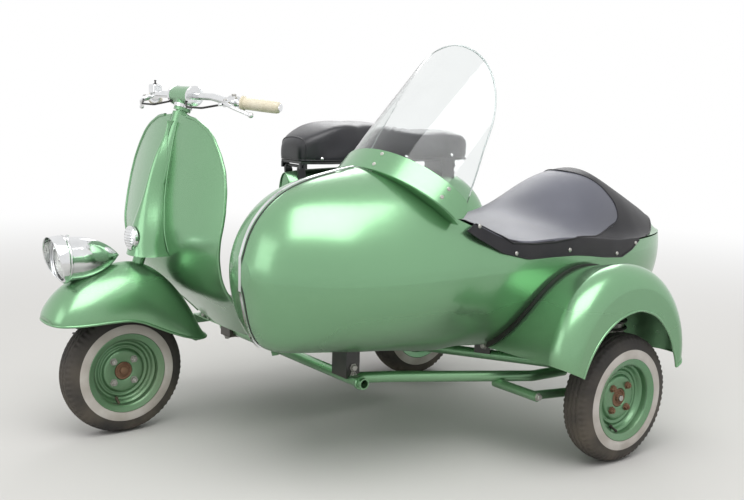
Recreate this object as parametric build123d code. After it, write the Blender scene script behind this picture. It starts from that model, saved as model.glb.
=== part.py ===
from build123d import *
import math
import os

os.makedirs("parts", exist_ok=True)

# Vehicle frame: X forward, Y to the sidecar side, Z up, zero on the ground under the rear
# axle. Everything is moved by SHIFT on export, so that the origin is under the middle.
SHIFT = (-446.5, -345.0, 0.0)

# Wheels and tyres
WHEELBASE = 1160
WHEEL_R = 190
TYRE_HALF = 45
SIDE_WHEEL = (70, 1005)
FLANGE_R = 122
BED_R = 100
BED_HALF = 40
HUB_R = 62
HUB_HALF = 36
AXLE_R = 10
RUN = 0.05
SEAT_GAP = 0.3
PART_GAP = 1.0
COVER_GAP = 3.5
MOVE_GAP = 6.0

# Steering axis: the point at the head and the lean of the column
HEAD = (940, 0, 1017)
LEAN = 18
STEM_R = 18
HEAD_TUBE_R = 26
HEAD_TUBE_LOW = 565
HEAD_TUBE_HIGH = 968
LEG_Y = -74
LEG_TURN_Z = 425
PIVOT_Z = 222
BAR_R = 11
GRIP_R = 17.5
SHEET = 3.0

TUBE_R = 16
TUBE_BORE = 12
TUBE_Z = 250

# Sidecar tub: middle plane and wall
TUB_Y = 600
TUB_WALL = 6.0
SCREEN_Y = 620
SCREEN_R = 250
SCREEN_BASE = (550, 775)
SCREEN_RAKE = 0.956
SCREEN_T = 4.0
BAND_T = 4.0
BEAD_HIGH = 7
BEAD_WIDE = 14


def axis_x(z):
    """X of the steering axis at height z."""
    return HEAD[0] + math.tan(math.radians(LEAN)) * (HEAD[2] - z)


def save(name, shape):
    """Moves a piece to the shared origin and writes it."""
    solid = shape.solids().sort_by(SortBy.VOLUME)[-1]
    export_step(solid.translate(SHIFT, transform=True), "parts/" + name + ".step")


def cylinder(start, end, radius):
    """Round bar between two points."""
    a = Vector(*start)
    b = Vector(*end)
    plane = Plane(origin=a, z_dir=(b - a))
    return extrude(plane * Circle(radius), (b - a).length)


def dome(x, radius, rise):
    """Arc of a ball cap from its rim at x to its tip on the X axis."""
    ball = (radius ** 2 + rise ** 2) / (2 * rise)
    middle = x + rise - ball
    half = math.asin(radius / ball) / 2
    return ThreePointArc((x, radius), (middle + ball * math.cos(half), ball * math.sin(half)), (x + rise, 0))


def column(z_low, z_high, radius):
    """Round bar on the steering axis between two heights."""
    return cylinder((axis_x(z_low), 0, z_low), (axis_x(z_high), 0, z_high), radius)


def rod(points, radius, bend):
    """Bent round bar through points, its corners rounded."""
    if len(points) == 2:
        return cylinder(points[0], points[1], radius)
    path = FilletPolyline(*points, radius=bend)
    start = Plane(origin=path @ 0, z_dir=path % 0)
    return sweep(start * Circle(radius), path=path)


def oval(half_width, low, high):
    """Closed outline of two half ellipses that meet at the widest line."""
    upper = EllipticalCenterArc((0, 0), half_width, high, 0, arc_size=180)
    lower = EllipticalCenterArc((0, 0), half_width, low, 180, arc_size=180)
    return make_face([upper, lower])


def cross_plane(x, y, z):
    """Plane across the vehicle, its local x to the left and local y up."""
    return Plane(origin=(x, y, z), x_dir=(0, 1, 0), z_dir=(1, 0, 0))


def side_prism(points, y_low, y_high):
    """Side-view outline carried across the vehicle."""
    face = Plane.XZ * make_face(Polyline(*points, close=True))
    solid = extrude(face, y_high - y_low, dir=(0, 1, 0))
    return solid.moved(Location((0, y_low, 0)))


def ring(points, centre):
    """Turned ring about a wheel axis from (across, radius) points."""
    face = make_face(Polyline(*points, close=True))
    solid = revolve(face, axis=Axis.X)
    return solid.rotate(Axis.Z, 90).moved(Location(centre))


# Wheels: node prefix, hub centre, side of the open face (+1 is the sidecar side)
wheel_rows = [
    ("front", (WHEELBASE, 0, WHEEL_R), 1),
    ("rear", (0, 0, WHEEL_R), 1),
    ("side", (SIDE_WHEEL[0], SIDE_WHEEL[1], WHEEL_R), 1),
]
for prefix, centre, side in wheel_rows:
    hub = ring([(-HUB_HALF, AXLE_R + RUN), (4, AXLE_R + RUN), (4, HUB_R), (-HUB_HALF, HUB_R)], centre)
    disc = ring([(2, 30), (9, 27), (9, 64), (2, 66)], centre)
    dish = ring([(2, 60), (9, 62), (-6, 98), (-14, 98)], centre)
    bed = ring([(-BED_HALF, 96), (BED_HALF, 96), (BED_HALF, BED_R), (-BED_HALF, BED_R)], centre)
    lip_a = ring([(BED_HALF - 1, 96), (BED_HALF + 4, 98), (BED_HALF + 7, FLANGE_R),
                  (BED_HALF + 4, FLANGE_R), (BED_HALF, 104), (BED_HALF - 1, 102)], centre)
    lip_b = ring([(1 - BED_HALF, 96), (-BED_HALF - 4, 98), (-BED_HALF - 7, FLANGE_R),
                  (-BED_HALF - 4, FLANGE_R), (-BED_HALF, 104), (1 - BED_HALF, 102)], centre)
    save(prefix + "_rim", hub + disc + dish + bed + lip_a + lip_b)

    bead = BED_HALF - 1.5
    tread = ThreePointArc((36, 181), (0, WHEEL_R), (-36, 181))
    left_wall = ThreePointArc((-36, 181), (-TYRE_HALF, 150), (-bead, BED_R + 6))
    right_wall = ThreePointArc((bead, BED_R + 6), (TYRE_HALF, 150), (36, 181))
    feet = Polyline((-bead, BED_R + 6), (-bead, BED_R + SEAT_GAP), (-24, BED_R + SEAT_GAP),
                    (-28, 125), (-32, 150), (-26, 172), (26, 172), (32, 150), (28, 125),
                    (24, BED_R + SEAT_GAP), (bead, BED_R + SEAT_GAP), (bead, BED_R + 6))
    section = make_face([tread, left_wall, feet, right_wall])
    tyre = revolve(section, axis=Axis.X).rotate(Axis.Z, 90).moved(Location(centre))
    save(prefix + "_tyre", tyre)

# Leg shield: side outline in arcs, turned about a far upright line, trimmed to its front outline
SHIELD_BACK = 1200
curve_a = ThreePointArc((975, 968), (1014, 800), (1042, 640))
curve_b = TangentArc(curve_a @ 1, (948, 412), tangent=curve_a % 1)
curve_c = TangentArc(curve_b @ 1, (792, 272), tangent=curve_b % 1)
shield_curve = [curve_a, curve_b, curve_c]


def shield_form(front, back_x, back_z):
    """Bent sheet between the shield line moved forward and the same line moved back."""
    fore = [edge.moved(Location((front, 0, 0))) for edge in shield_curve]
    aft = [edge.moved(Location((back_x, back_z, 0))) for edge in shield_curve]
    cap_top = Line(fore[0] @ 0, aft[0] @ 0)
    cap_low = Line(fore[2] @ 1, aft[2] @ 1)
    face = Plane.XZ * make_face(fore + aft + [cap_top, cap_low])
    turned = face.rotate(Axis((1042 - SHIELD_BACK, 0, 0), (0, 0, 1)), -18)
    return revolve(turned, axis=Axis((1042 - SHIELD_BACK, 0, 0), (0, 0, 1)), revolution_arc=36)


# Front outline of the shield: y, z
shield_half = [(0, 968), (125, 955), (190, 930), (229, 905), (270, 860), (300, 815), (318, 760),
               (326, 700), (326, 660), (320, 600), (310, 540), (290, 465), (268, 370), (255, 300), (250, 200)]
outline = shield_half + [(-y, z) for y, z in reversed(shield_half[1:])]
front_window = extrude(Plane.YZ * make_face(Polyline(*outline, close=True)), 1400)
shield = shield_form(0, -SHEET, 2.5) & front_window
shield = shield - column(500, 1010, HEAD_TUBE_R + PART_GAP) - column(935, 1010, HEAD_TUBE_R + MOVE_GAP)
save("leg_shield", shield)

# Column cover: height, half-width, front x
cover_rows = [(542, 74, 1132), (600, 62, 1122), (650, 50, 1108), (700, 36, 1090),
              (770, 27, 1068), (860, 23, 1035), (945, 21, 1005)]
COVER_BACK = 900
COVER_NOSE = 60
cover_faces = []
for z, half, front in cover_rows:
    level = Plane(origin=(COVER_BACK, 0, z), x_dir=(1, 0, 0), z_dir=(0, 0, 1))
    straight = front - COVER_BACK - COVER_NOSE
    nose = EllipticalCenterArc((straight, 0), COVER_NOSE, half, -90, arc_size=180)
    back = Polyline((straight, half), (0, half), (0, -half), (straight, -half))
    cover_faces.append(level * make_face([nose, back]))
cover = loft(cover_faces)
cover = cover - shield_form(0.6, -150, 100) - column(500, 1010, HEAD_TUBE_R + PART_GAP)
cover = cover - cylinder((1116.7, 0, 594), (1200, 0, 594), 37.3)
save("column_cover", cover)

# Horn with a domed face
horn_face = make_face([Polyline((1117, 0), (1117, 37), (1128, 37)),
                       dome(1128, 37, 14), Line((1142, 0), (1117, 0))])
horn = revolve(horn_face, axis=Axis.X).moved(Location((0, 0, 594)))
save("horn", horn)

# Head tube that carries the column
head_tube = column(HEAD_TUBE_LOW, HEAD_TUBE_HIGH, HEAD_TUBE_R) - column(500, 1010, STEM_R + RUN)
save("head_tube", head_tube)

# Front fender: lip x and z at the sides, crest x and z, half-width
fender_rows = [(1386, 366, 1392, 384, 52), (1372, 366, 1374, 420, 78), (1341, 366, 1341, 458, 96),
               (1290, 367, 1288, 491, 105), (1221, 369, 1217, 514, 108), (1155, 366, 1145, 524, 108),
               (1085, 333, 1062, 500, 107), (1028, 306, 990, 436, 105), (980, 288, 936, 355, 101),
               (942, 278, 890, 275, 92)]


def fender_form(inset, drop):
    """Half-oval loft over the wheel, smaller by the inset, its open side lowered by the drop."""
    faces = []
    for lip_x, lip_z, crest_x, crest_z, half in fender_rows:
        reach = Vector(crest_x - lip_x, 0, crest_z - lip_z)
        height = reach.length - inset
        up = reach.normalized()
        plane = Plane(origin=(lip_x, 0, lip_z), x_dir=(0, 1, 0), z_dir=Vector(0, 1, 0).cross(up))
        arch = EllipticalCenterArc((0, 0), half - inset, height, 0, arc_size=180)
        base = Polyline((inset - half, 0), (inset - half, -drop), (half - inset, -drop), (half - inset, 0))
        faces.append(plane * make_face([arch, base]))
    return loft(faces)


fender = fender_form(0, 1) - fender_form(SHEET, 8)
fender = fender - column(470, 560, STEM_R + SEAT_GAP)
save("front_fender", fender)

# Headlamp: chrome teardrop over the fender crest and its bulged lens
LAMP_Z = 546
LAMP_FACE_X = 1336
lamp_side = [ThreePointArc((1163, 0), (1222, 46), (1300, 65)), Line((1300, 65), (LAMP_FACE_X, 67)),
             Polyline((LAMP_FACE_X, 67), (LAMP_FACE_X, 61), (LAMP_FACE_X - 14, 58), (LAMP_FACE_X - 14, 0),
                      (1163, 0))]
lamp_shell = revolve(make_face(lamp_side), axis=Axis.X).moved(Location((0, 0, LAMP_Z)))
lamp_shell = lamp_shell - fender_form(-PART_GAP, 60)
save("headlamp_shell", lamp_shell)
lens_side = [Polyline((LAMP_FACE_X - 13.5, 0), (LAMP_FACE_X - 13.5, 57), (LAMP_FACE_X, 60)),
             dome(LAMP_FACE_X, 60, 14),
             Line((LAMP_FACE_X + 14, 0), (LAMP_FACE_X - 13.5, 0))]
save("headlamp_lens", revolve(make_face(lens_side), axis=Axis.X).moved(Location((0, 0, LAMP_Z))))

# Steering column: straight in the head tube, bent beside the wheel, ends at the link pivot
leg_top = (axis_x(LEG_TURN_Z), 0, LEG_TURN_Z)
leg_side = (axis_x(LEG_TURN_Z - 44), LEG_Y, LEG_TURN_Z - 44)
leg_foot = (axis_x(PIVOT_Z), LEG_Y, PIVOT_Z)
stem = column(LEG_TURN_Z - 4, 985, STEM_R)
leg = rod([(axis_x(470), 0, 470), leg_top, leg_side, leg_foot], STEM_R - 1, 20)
eye = cylinder((leg_foot[0], LEG_Y - 20, PIVOT_Z), (leg_foot[0], LEG_Y + 20, PIVOT_Z), 22)
pin_bore = cylinder((leg_foot[0], LEG_Y - 30, PIVOT_Z), (leg_foot[0], LEG_Y + 30, PIVOT_Z), 8 + SEAT_GAP)
save("steering_column", stem + leg + eye - pin_bore)

# Trailing link with its pin and the front axle
LINK_Y = LEG_Y + 26
link_arm = side_prism([(leg_foot[0] - 6, PIVOT_Z + 20), (leg_foot[0] + 16, PIVOT_Z + 8),
                       (leg_foot[0] + 14, PIVOT_Z - 18), (WHEELBASE - 4, WHEEL_R - 22),
                       (WHEELBASE - 22, WHEEL_R - 4), (WHEELBASE - 10, WHEEL_R + 20)], LINK_Y - 5, LINK_Y + 5)
link_pin = cylinder((leg_foot[0], LEG_Y - 46, PIVOT_Z), (leg_foot[0], LINK_Y + 4, PIVOT_Z), 8)
front_axle = cylinder((WHEELBASE, LINK_Y - 4, WHEEL_R), (WHEELBASE, 16, WHEEL_R), AXLE_R)
save("fork_link", link_arm + link_pin + front_axle)

# Fork damper on the outer side of the leg, hung on the link pin
DAMPER_Y = LEG_Y - 36
damper_eye = cylinder((leg_foot[0], DAMPER_Y - 7, PIVOT_Z), (leg_foot[0], DAMPER_Y + 7, PIVOT_Z), 15)
damper_high = (axis_x(352) + 8, DAMPER_Y, 346)
fork_damper = damper_eye + cylinder((leg_foot[0], DAMPER_Y, PIVOT_Z), damper_high, 14)
fork_damper = fork_damper - cylinder((leg_foot[0], DAMPER_Y - 20, PIVOT_Z),
                                     (leg_foot[0], DAMPER_Y + 20, PIVOT_Z), 8 + SEAT_GAP)
save("fork_damper", fork_damper)

# Handlebar head: neck over the column and a cross barrel around the bar
BAR_Z = 1021
neck = column(HEAD_TUBE_HIGH + 6, BAR_Z - 4, HEAD_TUBE_R) - column(HEAD_TUBE_HIGH, 985.5, STEM_R + SEAT_GAP)
barrel = cylinder((942, -62, BAR_Z), (942, 62, BAR_Z), 28)
bar_hole = cylinder((942, -70, BAR_Z), (942, 70, BAR_Z), BAR_R + SEAT_GAP)
save("handlebar_head", neck + barrel - bar_hole)

# Handlebar, grips, levers: sides by a loop
left_bar = [(942, 70, BAR_Z), (945, 180, BAR_Z), (933, 232, 1012), (908, 290, 1007), (846, 393, 998)]
right_bar = [(x, -y, z) for x, y, z in reversed(left_bar)]
save("handlebar", rod(right_bar + left_bar, BAR_R, 45))
bar_space = rod(right_bar + left_bar, BAR_R + SEAT_GAP, 45)
lever_rows = [("left", 1), ("right", -1)]


def perch_form(hand, grow):
    """Clamp ring on the bar with the lever's pivot boss, larger by grow."""
    ring_part = cylinder((926, 249 * hand, 1010.2), (916, 272 * hand, 1008.2), GRIP_R + 1 + grow)
    return ring_part + cylinder((935, 262 * hand, 1010), (958 + grow, 268 * hand, 1004), 10 + grow)


for name, hand in lever_rows:
    root = (908, 290 * hand, 1007)
    tip = (845, 395 * hand, 998)
    grip = cylinder(root, tip, GRIP_R) - cylinder((911, 285 * hand, 1007.4), tip, BAR_R + SEAT_GAP)
    flange = cylinder(root, (905.4, 294.3 * hand, 1006.6), GRIP_R + 4)
    flange = flange - cylinder((911, 285 * hand, 1007.4), tip, BAR_R + SEAT_GAP)
    save("grip_" + name, grip + flange)
    perch = perch_form(hand, 0) - bar_space
    blade = rod([(954, 267 * hand, 1005), (950, 300 * hand, 996), (922, 356 * hand, 976)], 5.5, 20)
    ball = Pos(922, 356 * hand, 976) * Sphere(8)
    save("lever_" + name, perch + blade + ball)

switch_body = Pos(941, -212, 1037) * fillet(Box(30, 42, 30).edges(), 6)
save("switch_box", switch_body - bar_space)

# Control cables in one plane each, from the lever to beside the neck
for name, hand in lever_rows:
    cable = rod([(954, 268 * hand, 1004), (992, 200 * hand, 990), (994, 110 * hand, 990),
                 (955, 26 * hand, 1008)], 3, 30)
    cable = cable - perch_form(hand, SEAT_GAP) - cylinder((942, -63, BAR_Z), (942, 63, BAR_Z), 28 + SEAT_GAP)
    save("cable_" + name, cable)

# Floorboard: pan with a raised middle and turned-down edges
FLOOR_Z = 268
floor_side = [(345, FLOOR_Z), (786, FLOOR_Z), (786, FLOOR_Z + SHEET), (345, FLOOR_Z + SHEET)]
floor = side_prism(floor_side, -252, 252)
tunnel_faces = []
for x, half, height in [(350, 96, 78), (560, 84, 44), (785, 80, 34)]:
    plane = cross_plane(x, 0, FLOOR_Z + 1)
    tunnel_faces.append(plane * make_face(Polyline((-half, 0), (-half + 26, height), (half - 26, height),
                                                   (half, 0), close=True)))
tunnel = loft(tunnel_faces, ruled=True)
edge_a = side_prism([(345, 236), (776, 236), (786, FLOOR_Z + 1), (345, FLOOR_Z + 1)], -252, -249)
edge_b = side_prism([(345, 236), (776, 236), (786, FLOOR_Z + 1), (345, FLOOR_Z + 1)], 249, 252)
floor = floor + tunnel + edge_a + edge_b - cylinder((640, -150, 240), (640, -150, 285), 6 + SEAT_GAP)
floor = floor - cylinder((740, 200, TUBE_Z), (740, 300, TUBE_Z), TUBE_R + 2)
floor = floor - cylinder((600, -3, TUBE_Z), (136, 775, TUBE_Z), TUBE_R + 2)

# Rear body: x, half-width, low, widest and top heights of the pressed shell
body_rows = [(-286, 62, 380, 520, 605), (-262, 96, 340, 520, 670), (-180, 124, 300, 520, 735),
             (-40, 138, 270, 520, 766), (120, 140, 250, 520, 780), (250, 134, 235, 500, 786),
             (370, 118, 222, 480, 786), (460, 92, 380, 600, 784), (542, 58, 560, 700, 780),
             (578, 24, 690, 736, 772)]


def body_form(inset):
    """Loft of the rear body, smaller by the inset all round."""
    faces = []
    for x, half, low, wide, top in body_rows:
        shift = inset if x < 0 else -inset
        plane = cross_plane(x + shift, 0, wide)
        faces.append(plane * oval(half - inset, wide - low - inset, top - wide - inset))
    return loft(faces)


body = body_form(0) - body_form(SHEET)
well = cylinder((0, -62, WHEEL_R), (0, 62, WHEEL_R), WHEEL_R + 22)
open_below = side_prism([(-320, 100), (-320, 330), (-190, 300), (-170, 210), (300, 210), (340, 268),
                         (420, 268), (420, 100)], -300, 300)
engine_zone = Pos(40, -158, 262) * Box(316, 166, 206)
damper_zone = cylinder((-84, -84, 280), (-84, -84, 480), 26)
body = body - well - open_below - engine_zone - damper_zone
save("rear_body", body)
save("floorboard", floor - body_form(-PART_GAP))

# Side cowls: shell bulges on both sides, from (offset from the body, half-length, half-height)
COWL_Z = 468
COWL_X = 20
cowl_rows = [("left", 1, 104, 262), ("right", -1, 104, 288)]
for name, hand, root, tip in cowl_rows:
    depth = tip - root
    shells = []
    for inset in (0, SHEET):
        faces = []
        for share, length, height in [(0, 252, 178), (0.35, 246, 172), (0.7, 222, 150), (0.92, 176, 112), (1, 120, 70)]:
            plane = Plane(origin=(COWL_X, hand * (root + depth * share - inset * share), COWL_Z),
                          x_dir=(1, 0, 0), z_dir=(0, -1, 0))
            faces.append(plane * oval(length - inset, height - inset, height - inset))
        shells.append(loft(faces))
    shell = shells[0] - shells[1] - engine_zone - body_form(-SEAT_GAP)
    save("cowl_" + name, shell)

# Engine unit: plain block on the right of the wheel with the axle that carries it
engine = Pos(40, -158, 262) * fillet(Box(300, 150, 190).edges(), 18)
neck_block = Pos(20, -76, WHEEL_R) * Box(90, 24, 90)
save("engine_block", engine + neck_block - cylinder((0, -240, WHEEL_R), (0, -20, WHEEL_R), AXLE_R + SEAT_GAP))
save("rear_axle", cylinder((0, -150, WHEEL_R), (0, 16, WHEEL_R), AXLE_R))

# Rear damper between the engine and the shell
rear_damper = cylinder((-84, -84, 357.3), (-84, -84, 450), 20)
rear_damper = rear_damper + (cylinder((-84, -84, 449), (-84, -84, 800), 20) & body_form(SHEET + SEAT_GAP))
save("rear_damper", rear_damper)

# Exhaust box under the engine with its outlet
exhaust = cylinder((150, -120, 116), (-120, -120, 116), 42)
exhaust = exhaust + cylinder((-118, -120, 116), (-210, -120, 108), 13)
exhaust = exhaust + cylinder((60, -120, 150), (60, -120, 166.7), 16)
save("exhaust", exhaust)

# Kick lever and brake pedal
kick = rod([(120, -233.5, 262), (120, -268, 262), (250, -300, 352), (262, -330, 360)], 8, 14)
save("kick_lever", kick)
pedal = rod([(640, -150, 256), (640, -150, 300), (690, -150, 330)], 6, 14)
pedal = pedal + Pos(694, -150, 332) * Rot(0, -35, 0) * Box(60, 46, 8)
save("brake_pedal", pedal)

# Tail lamp on the tail
tail = cylinder((-286.5, 0, 560), (-322, 0, 560), 32)
save("tail_lamp", tail)

# Dual seat: x, half-width and height of the shoulders, over a pan and its brackets
SEAT_BASE = 815
SEAT_TURN = 20
SEAT_CROWN = 6
PAN_INSET = 8
PAN_DEEP = 9
HINGE = (544, 797)
HINGE_R = 5
seat_rows = [(-165, 70, 868), (-152, 92, 886), (-120, 108, 899), (0, 112, 906), (150, 112, 918), (300, 112, 937),
             (400, 112, 939), (470, 106, 926), (528, 86, 901), (556, 68, 882), (566, 58, 862)]
cushion_faces = []
for x, half, high in seat_rows:
    inner = half - SEAT_TURN
    top = high - SEAT_BASE
    near_turn = ThreePointArc((half, top - SEAT_TURN), (half - 6, top - 6), (inner, top))
    crown = ThreePointArc((inner, top), (0, top + SEAT_CROWN), (-inner, top))
    far_turn = ThreePointArc((-inner, top), (6 - half, top - 6), (-half, top - SEAT_TURN))
    foot = Polyline((-half, top - SEAT_TURN), (-half, 0), (half, 0), (half, top - SEAT_TURN))
    cushion_faces.append(cross_plane(x, 0, SEAT_BASE) * make_face([near_turn, crown, far_turn, foot]))
save("dual_seat", loft(cushion_faces))
pan_half = [(x, half - PAN_INSET) for x, half, high in seat_rows[1:-1]]
pan_outline = pan_half + [(x, -half) for x, half in reversed(pan_half)]
pan = extrude(Plane.XY.offset(SEAT_BASE - PAN_DEEP) * make_face(Polyline(*pan_outline, close=True)),
              PAN_DEEP - SEAT_GAP)
ear_side = [(530, 808), (558, 808), (558, 789), (530, 789)]
pan_ears = side_prism(ear_side, -58, -50) + side_prism(ear_side, 50, 58)
hinge_bore = cylinder((HINGE[0], -70, HINGE[1]), (HINGE[0], 70, HINGE[1]), HINGE_R + RUN)
save("seat_pan", pan + pan_ears - hinge_bore)
lug_side = [(516, 720), (528, 786), (538, 802), (550, 802), (556, 789), (550, 720)]
lugs = side_prism(lug_side, -43, -35) + side_prism(lug_side, 35, 43)
hinge_pin = cylinder((HINGE[0], -64, HINGE[1]), (HINGE[0], 64, HINGE[1]), HINGE_R)
save("seat_bracket", lugs + hinge_pin - body_form(-SEAT_GAP))
rest_top = SEAT_BASE - PAN_DEEP - SEAT_GAP
rest = side_prism([(-130, 700), (-130, rest_top), (-70, rest_top), (-70, 700)], -52, 52)
save("seat_rest", rest - body_form(-SEAT_GAP))

# Sidecar tub: x, half-width, low, widest and top heights of the egg-shaped shell
tub_rows = [(1091, 46, 540, 578, 622), (1074, 92, 462, 574, 674), (1038, 140, 388, 570, 732),
            (985, 184, 362, 568, 778), (900, 226, 352, 566, 815), (780, 260, 338, 566, 840),
            (620, 282, 320, 568, 852), (440, 288, 306, 570, 858), (240, 287, 290, 572, 858),
            (40, 276, 286, 574, 852), (-160, 250, 294, 574, 842), (-320, 208, 318, 572, 812),
            (-430, 150, 356, 560, 752), (-484, 96, 404, 545, 680), (-504, 46, 452, 530, 606)]


def tub_form(grow):
    """Loft of the tub shell, larger by grow all round."""
    faces = []
    for x, half, low, wide, top in tub_rows:
        shift = grow if x > 300 else -grow
        plane = cross_plane(x + shift, TUB_Y, wide)
        faces.append(plane * oval(half + grow, wide - low + grow, top - wide + grow))
    return loft(faces)


# Side-view line of the open edge
rim_line = [(745, 860), (606, 732), (565, 722), (465, 676), (392, 646), (167, 640), (44, 626),
            (-56, 611), (-540, 609)]
tub_outer = tub_form(0)
above_rim = side_prism(rim_line + [(-540, 1000), (745, 1000)], TUB_Y - 400, TUB_Y + 400)
tub = tub_outer - tub_form(-TUB_WALL) - above_rim
save("sidecar_tub", tub)

# Chrome strip on the middle line of the nose
strip_zone = side_prism([(1150, 380), (1150, 900), (742, 900), (742, 700), (900, 600), (900, 380)],
                        TUB_Y - 6, TUB_Y + 6)
save("nose_strip", (tub_form(4) - tub_form(0.4)) & strip_zone)


# Raked screen: slanted round tube of perspex cut by side-view lines
def screen_form(grow):
    """Solid slanted cylinder of the screen, larger by grow, level cuts at both ends."""
    base_x, base_z = SCREEN_BASE
    levels = []
    for z in (560, 1240):
        levels.append(Plane.XY.offset(z) * Pos(base_x - SCREEN_RAKE * (z - base_z), SCREEN_Y)
                      * Circle(SCREEN_R + grow))
    return loft(levels, ruled=True)


screen_side = make_face([Polyline((404, 1189), (704, 905), (722, 884), (592, 757), (566, 762), (500, 906), (456, 985)),
                         ThreePointArc((456, 985), (420, 1088), (404, 1189))])
screen_zone = extrude(Plane.XZ * screen_side, -1000)
screen = (screen_form(0) - screen_form(-SCREEN_T)) & screen_zone
band_side = Polyline((748, 862), (700, 909), (573, 779), (566, 764), (566, 744), (580, 728), (606, 728), close=True)
band_zone = extrude(Plane.XZ * make_face(band_side), -1000)
band = (screen_form(PART_GAP + BAND_T) - screen_form(PART_GAP)) & band_zone
skirt_side = Polyline((762, 879), (760, 873), (594, 712), (590, 716), close=True)
skirt_zone = extrude(Plane.XZ * make_face(skirt_side), -1000)
band = band + (screen_form(PART_GAP + 1) & skirt_zone)
clear_tub = tub_form(PART_GAP)
save("windscreen", screen - clear_tub)
save("screen_band", band - clear_tub)

# Tonneau cover: rows of x, hem height, rim height and crest height over the tub's own width
cloth_rows = [(590, 716, 730, 762), (520, 668, 708, 738), (440, 624, 670, 704), (340, 599, 646, 676),
              (240, 598, 646, 668), (140, 594, 642, 684), (70, 586, 636, 728), (0, 575, 626, 776),
              (-80, 566, 617, 808), (-160, 562, 614, 815), (-240, 562, 612, 800), (-320, 562, 611, 762),
              (-400, 562, 610, 708), (-450, 562, 610, 668), (-484, 562, 609, 644), (-505, 562, 608, 628)]
CLOTH = 2.5
CLOTH_SWEEP = 0.22
TAIL_EASE = 8


def tub_row(x):
    """Tub section at x: half-width, low, widest and top heights on the curve through four rows."""
    last = max(index for index, row in enumerate(tub_rows) if row[0] >= x)
    first = min(max(last - 1, 0), len(tub_rows) - 4)
    near = tub_rows[first:first + 4]
    values = []
    for column_at in range(1, 5):
        total = 0
        for row in near:
            share = 1.0
            for other in near:
                if other is not row:
                    share = share * (x - other[0]) / (row[0] - other[0])
            total = total + share * row[column_at]
        values.append(total)
    return values


def tub_half(x, z):
    """Half-width of the tub at x and height z."""
    half, low, wide, top = tub_row(max(x, tub_rows[-1][0]))
    reach = top - wide if z > wide else wide - low
    return half * math.sqrt(max(0.02, 1 - ((z - wide) / reach) ** 2))


def cloth_form(grow, drop):
    """Loft of the stretched cover, larger by grow, its open foot lowered by the drop."""
    faces = []
    for x, hem, rim, crest in cloth_rows:
        shift = grow if x > 300 else -grow
        plane = cross_plane(x + shift, TUB_Y, rim)
        ease = TAIL_EASE if x < -450 else 0
        low = tub_half(x, hem) + grow + ease
        mid = tub_half(x, (hem + rim) / 2) + grow + ease + 0.3
        high = tub_half(x, rim) + grow + ease
        rise = crest - rim
        bend = (high * (1 - CLOTH_SWEEP), grow + rise * CLOTH_SWEEP)
        hollow = TangentArc((high, grow), bend, tangent=(-1, 0))
        crown = TangentArc(bend, (0, grow + rise), tangent=hollow % 1)
        far_crown = TangentArc((0, grow + rise), (-bend[0], bend[1]), tangent=(-1, 0))
        far_hollow = TangentArc((-bend[0], bend[1]), (-high, grow), tangent=far_crown % 1)
        foot = Polyline((-high, grow), (-mid, (hem - rim) / 2), (-low, hem - rim), (-low, hem - rim - drop),
                        (low, hem - rim - drop), (low, hem - rim), (mid, (hem - rim) / 2), (high, grow))
        faces.append(plane * make_face([hollow, crown, far_crown, far_hollow, foot]))
    return loft(faces)


cloth = cloth_form(COVER_GAP + CLOTH, 1) - cloth_form(COVER_GAP, 30)
cloth = cloth - screen_form(PART_GAP + BAND_T + SEAT_GAP) - Pos(593, TUB_Y, 716) * Box(12, 700, 50)
save("tonneau_cover", cloth)

# Side fender: angle about the wheel, radius of the crest and of the open edge
side_fender_rows = [(25, 330, 258), (38, 362, 264), (54, 388, 272), (70, 402, 276), (88, 398, 274),
                    (104, 380, 258), (122, 344, 232), (140, 302, 208), (156, 264, 196)]
FENDER_FACE_Y = 1083
FENDER_TOP_Y = 1012
FENDER_TURN = 62
FENDER_FALL = 0.5


def side_fender_form(grow, drop):
    """Loft of the radial sections of the side fender, larger by grow, its open side lowered by the drop."""
    faces = []
    for angle, crest, edge in side_fender_rows:
        across = math.radians(angle)
        origin = Vector(SIDE_WHEEL[0], 0, WHEEL_R)
        radial = Vector(math.cos(across), 0, math.sin(across))
        plane = Plane(origin=origin, x_dir=(0, 1, 0), z_dir=Vector(0, 1, 0).cross(radial))
        face_y = FENDER_FACE_Y + grow
        top = crest + grow
        foot = top - FENDER_FALL * (crest - edge)
        wall = Line((face_y, edge - drop), (face_y, top - FENDER_TURN))
        turn = ThreePointArc((face_y, top - FENDER_TURN), (face_y - 21, top - 17), (FENDER_TOP_Y, top))
        rest = Polyline((FENDER_TOP_Y, top), (740, foot), (740, edge - drop), (face_y, edge - drop))
        faces.append(plane * make_face([wall, turn, rest]))
    return loft(faces)


fender_outer = side_fender_form(0, 0)
side_fender = fender_outer - side_fender_form(-SHEET, 20) - tub_form(0.5)
save("side_fender", side_fender)
bead_zone = side_fender_form(BEAD_HIGH, 0) - side_fender_form(0.4, 40)
bead = bead_zone & (tub_form(BEAD_WIDE) - tub_form(0.6))
save("fender_bead", bead - cloth_form(COVER_GAP + CLOTH + PART_GAP, 2))

# Sidecar frame tubes: the front one ends open
front_tube = cylinder((740, -120, TUBE_Z), (740, 675, TUBE_Z), TUBE_R)
front_tube = front_tube - cylinder((740, 600, TUBE_Z), (740, 676, TUBE_Z), TUBE_BORE)
save("front_cross_tube", front_tube)
rail_line = [(738, 602, TUBE_Z), (640, 650, TUBE_Z), (226, 822, 230), (100, 832, 230)]
rail = rod(rail_line, TUBE_R, 60)
rail = rail - cylinder((740, 500, TUBE_Z), (740, 760, TUBE_Z), TUBE_R + SEAT_GAP)
save("side_rail", rail)
rail_space = rod(rail_line, TUBE_R + SEAT_GAP, 60)
rear_tube = cylinder((600, -3, TUBE_Z), (109, 820, TUBE_Z), TUBE_R) - rail_space
save("rear_cross_tube", rear_tube)

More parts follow.
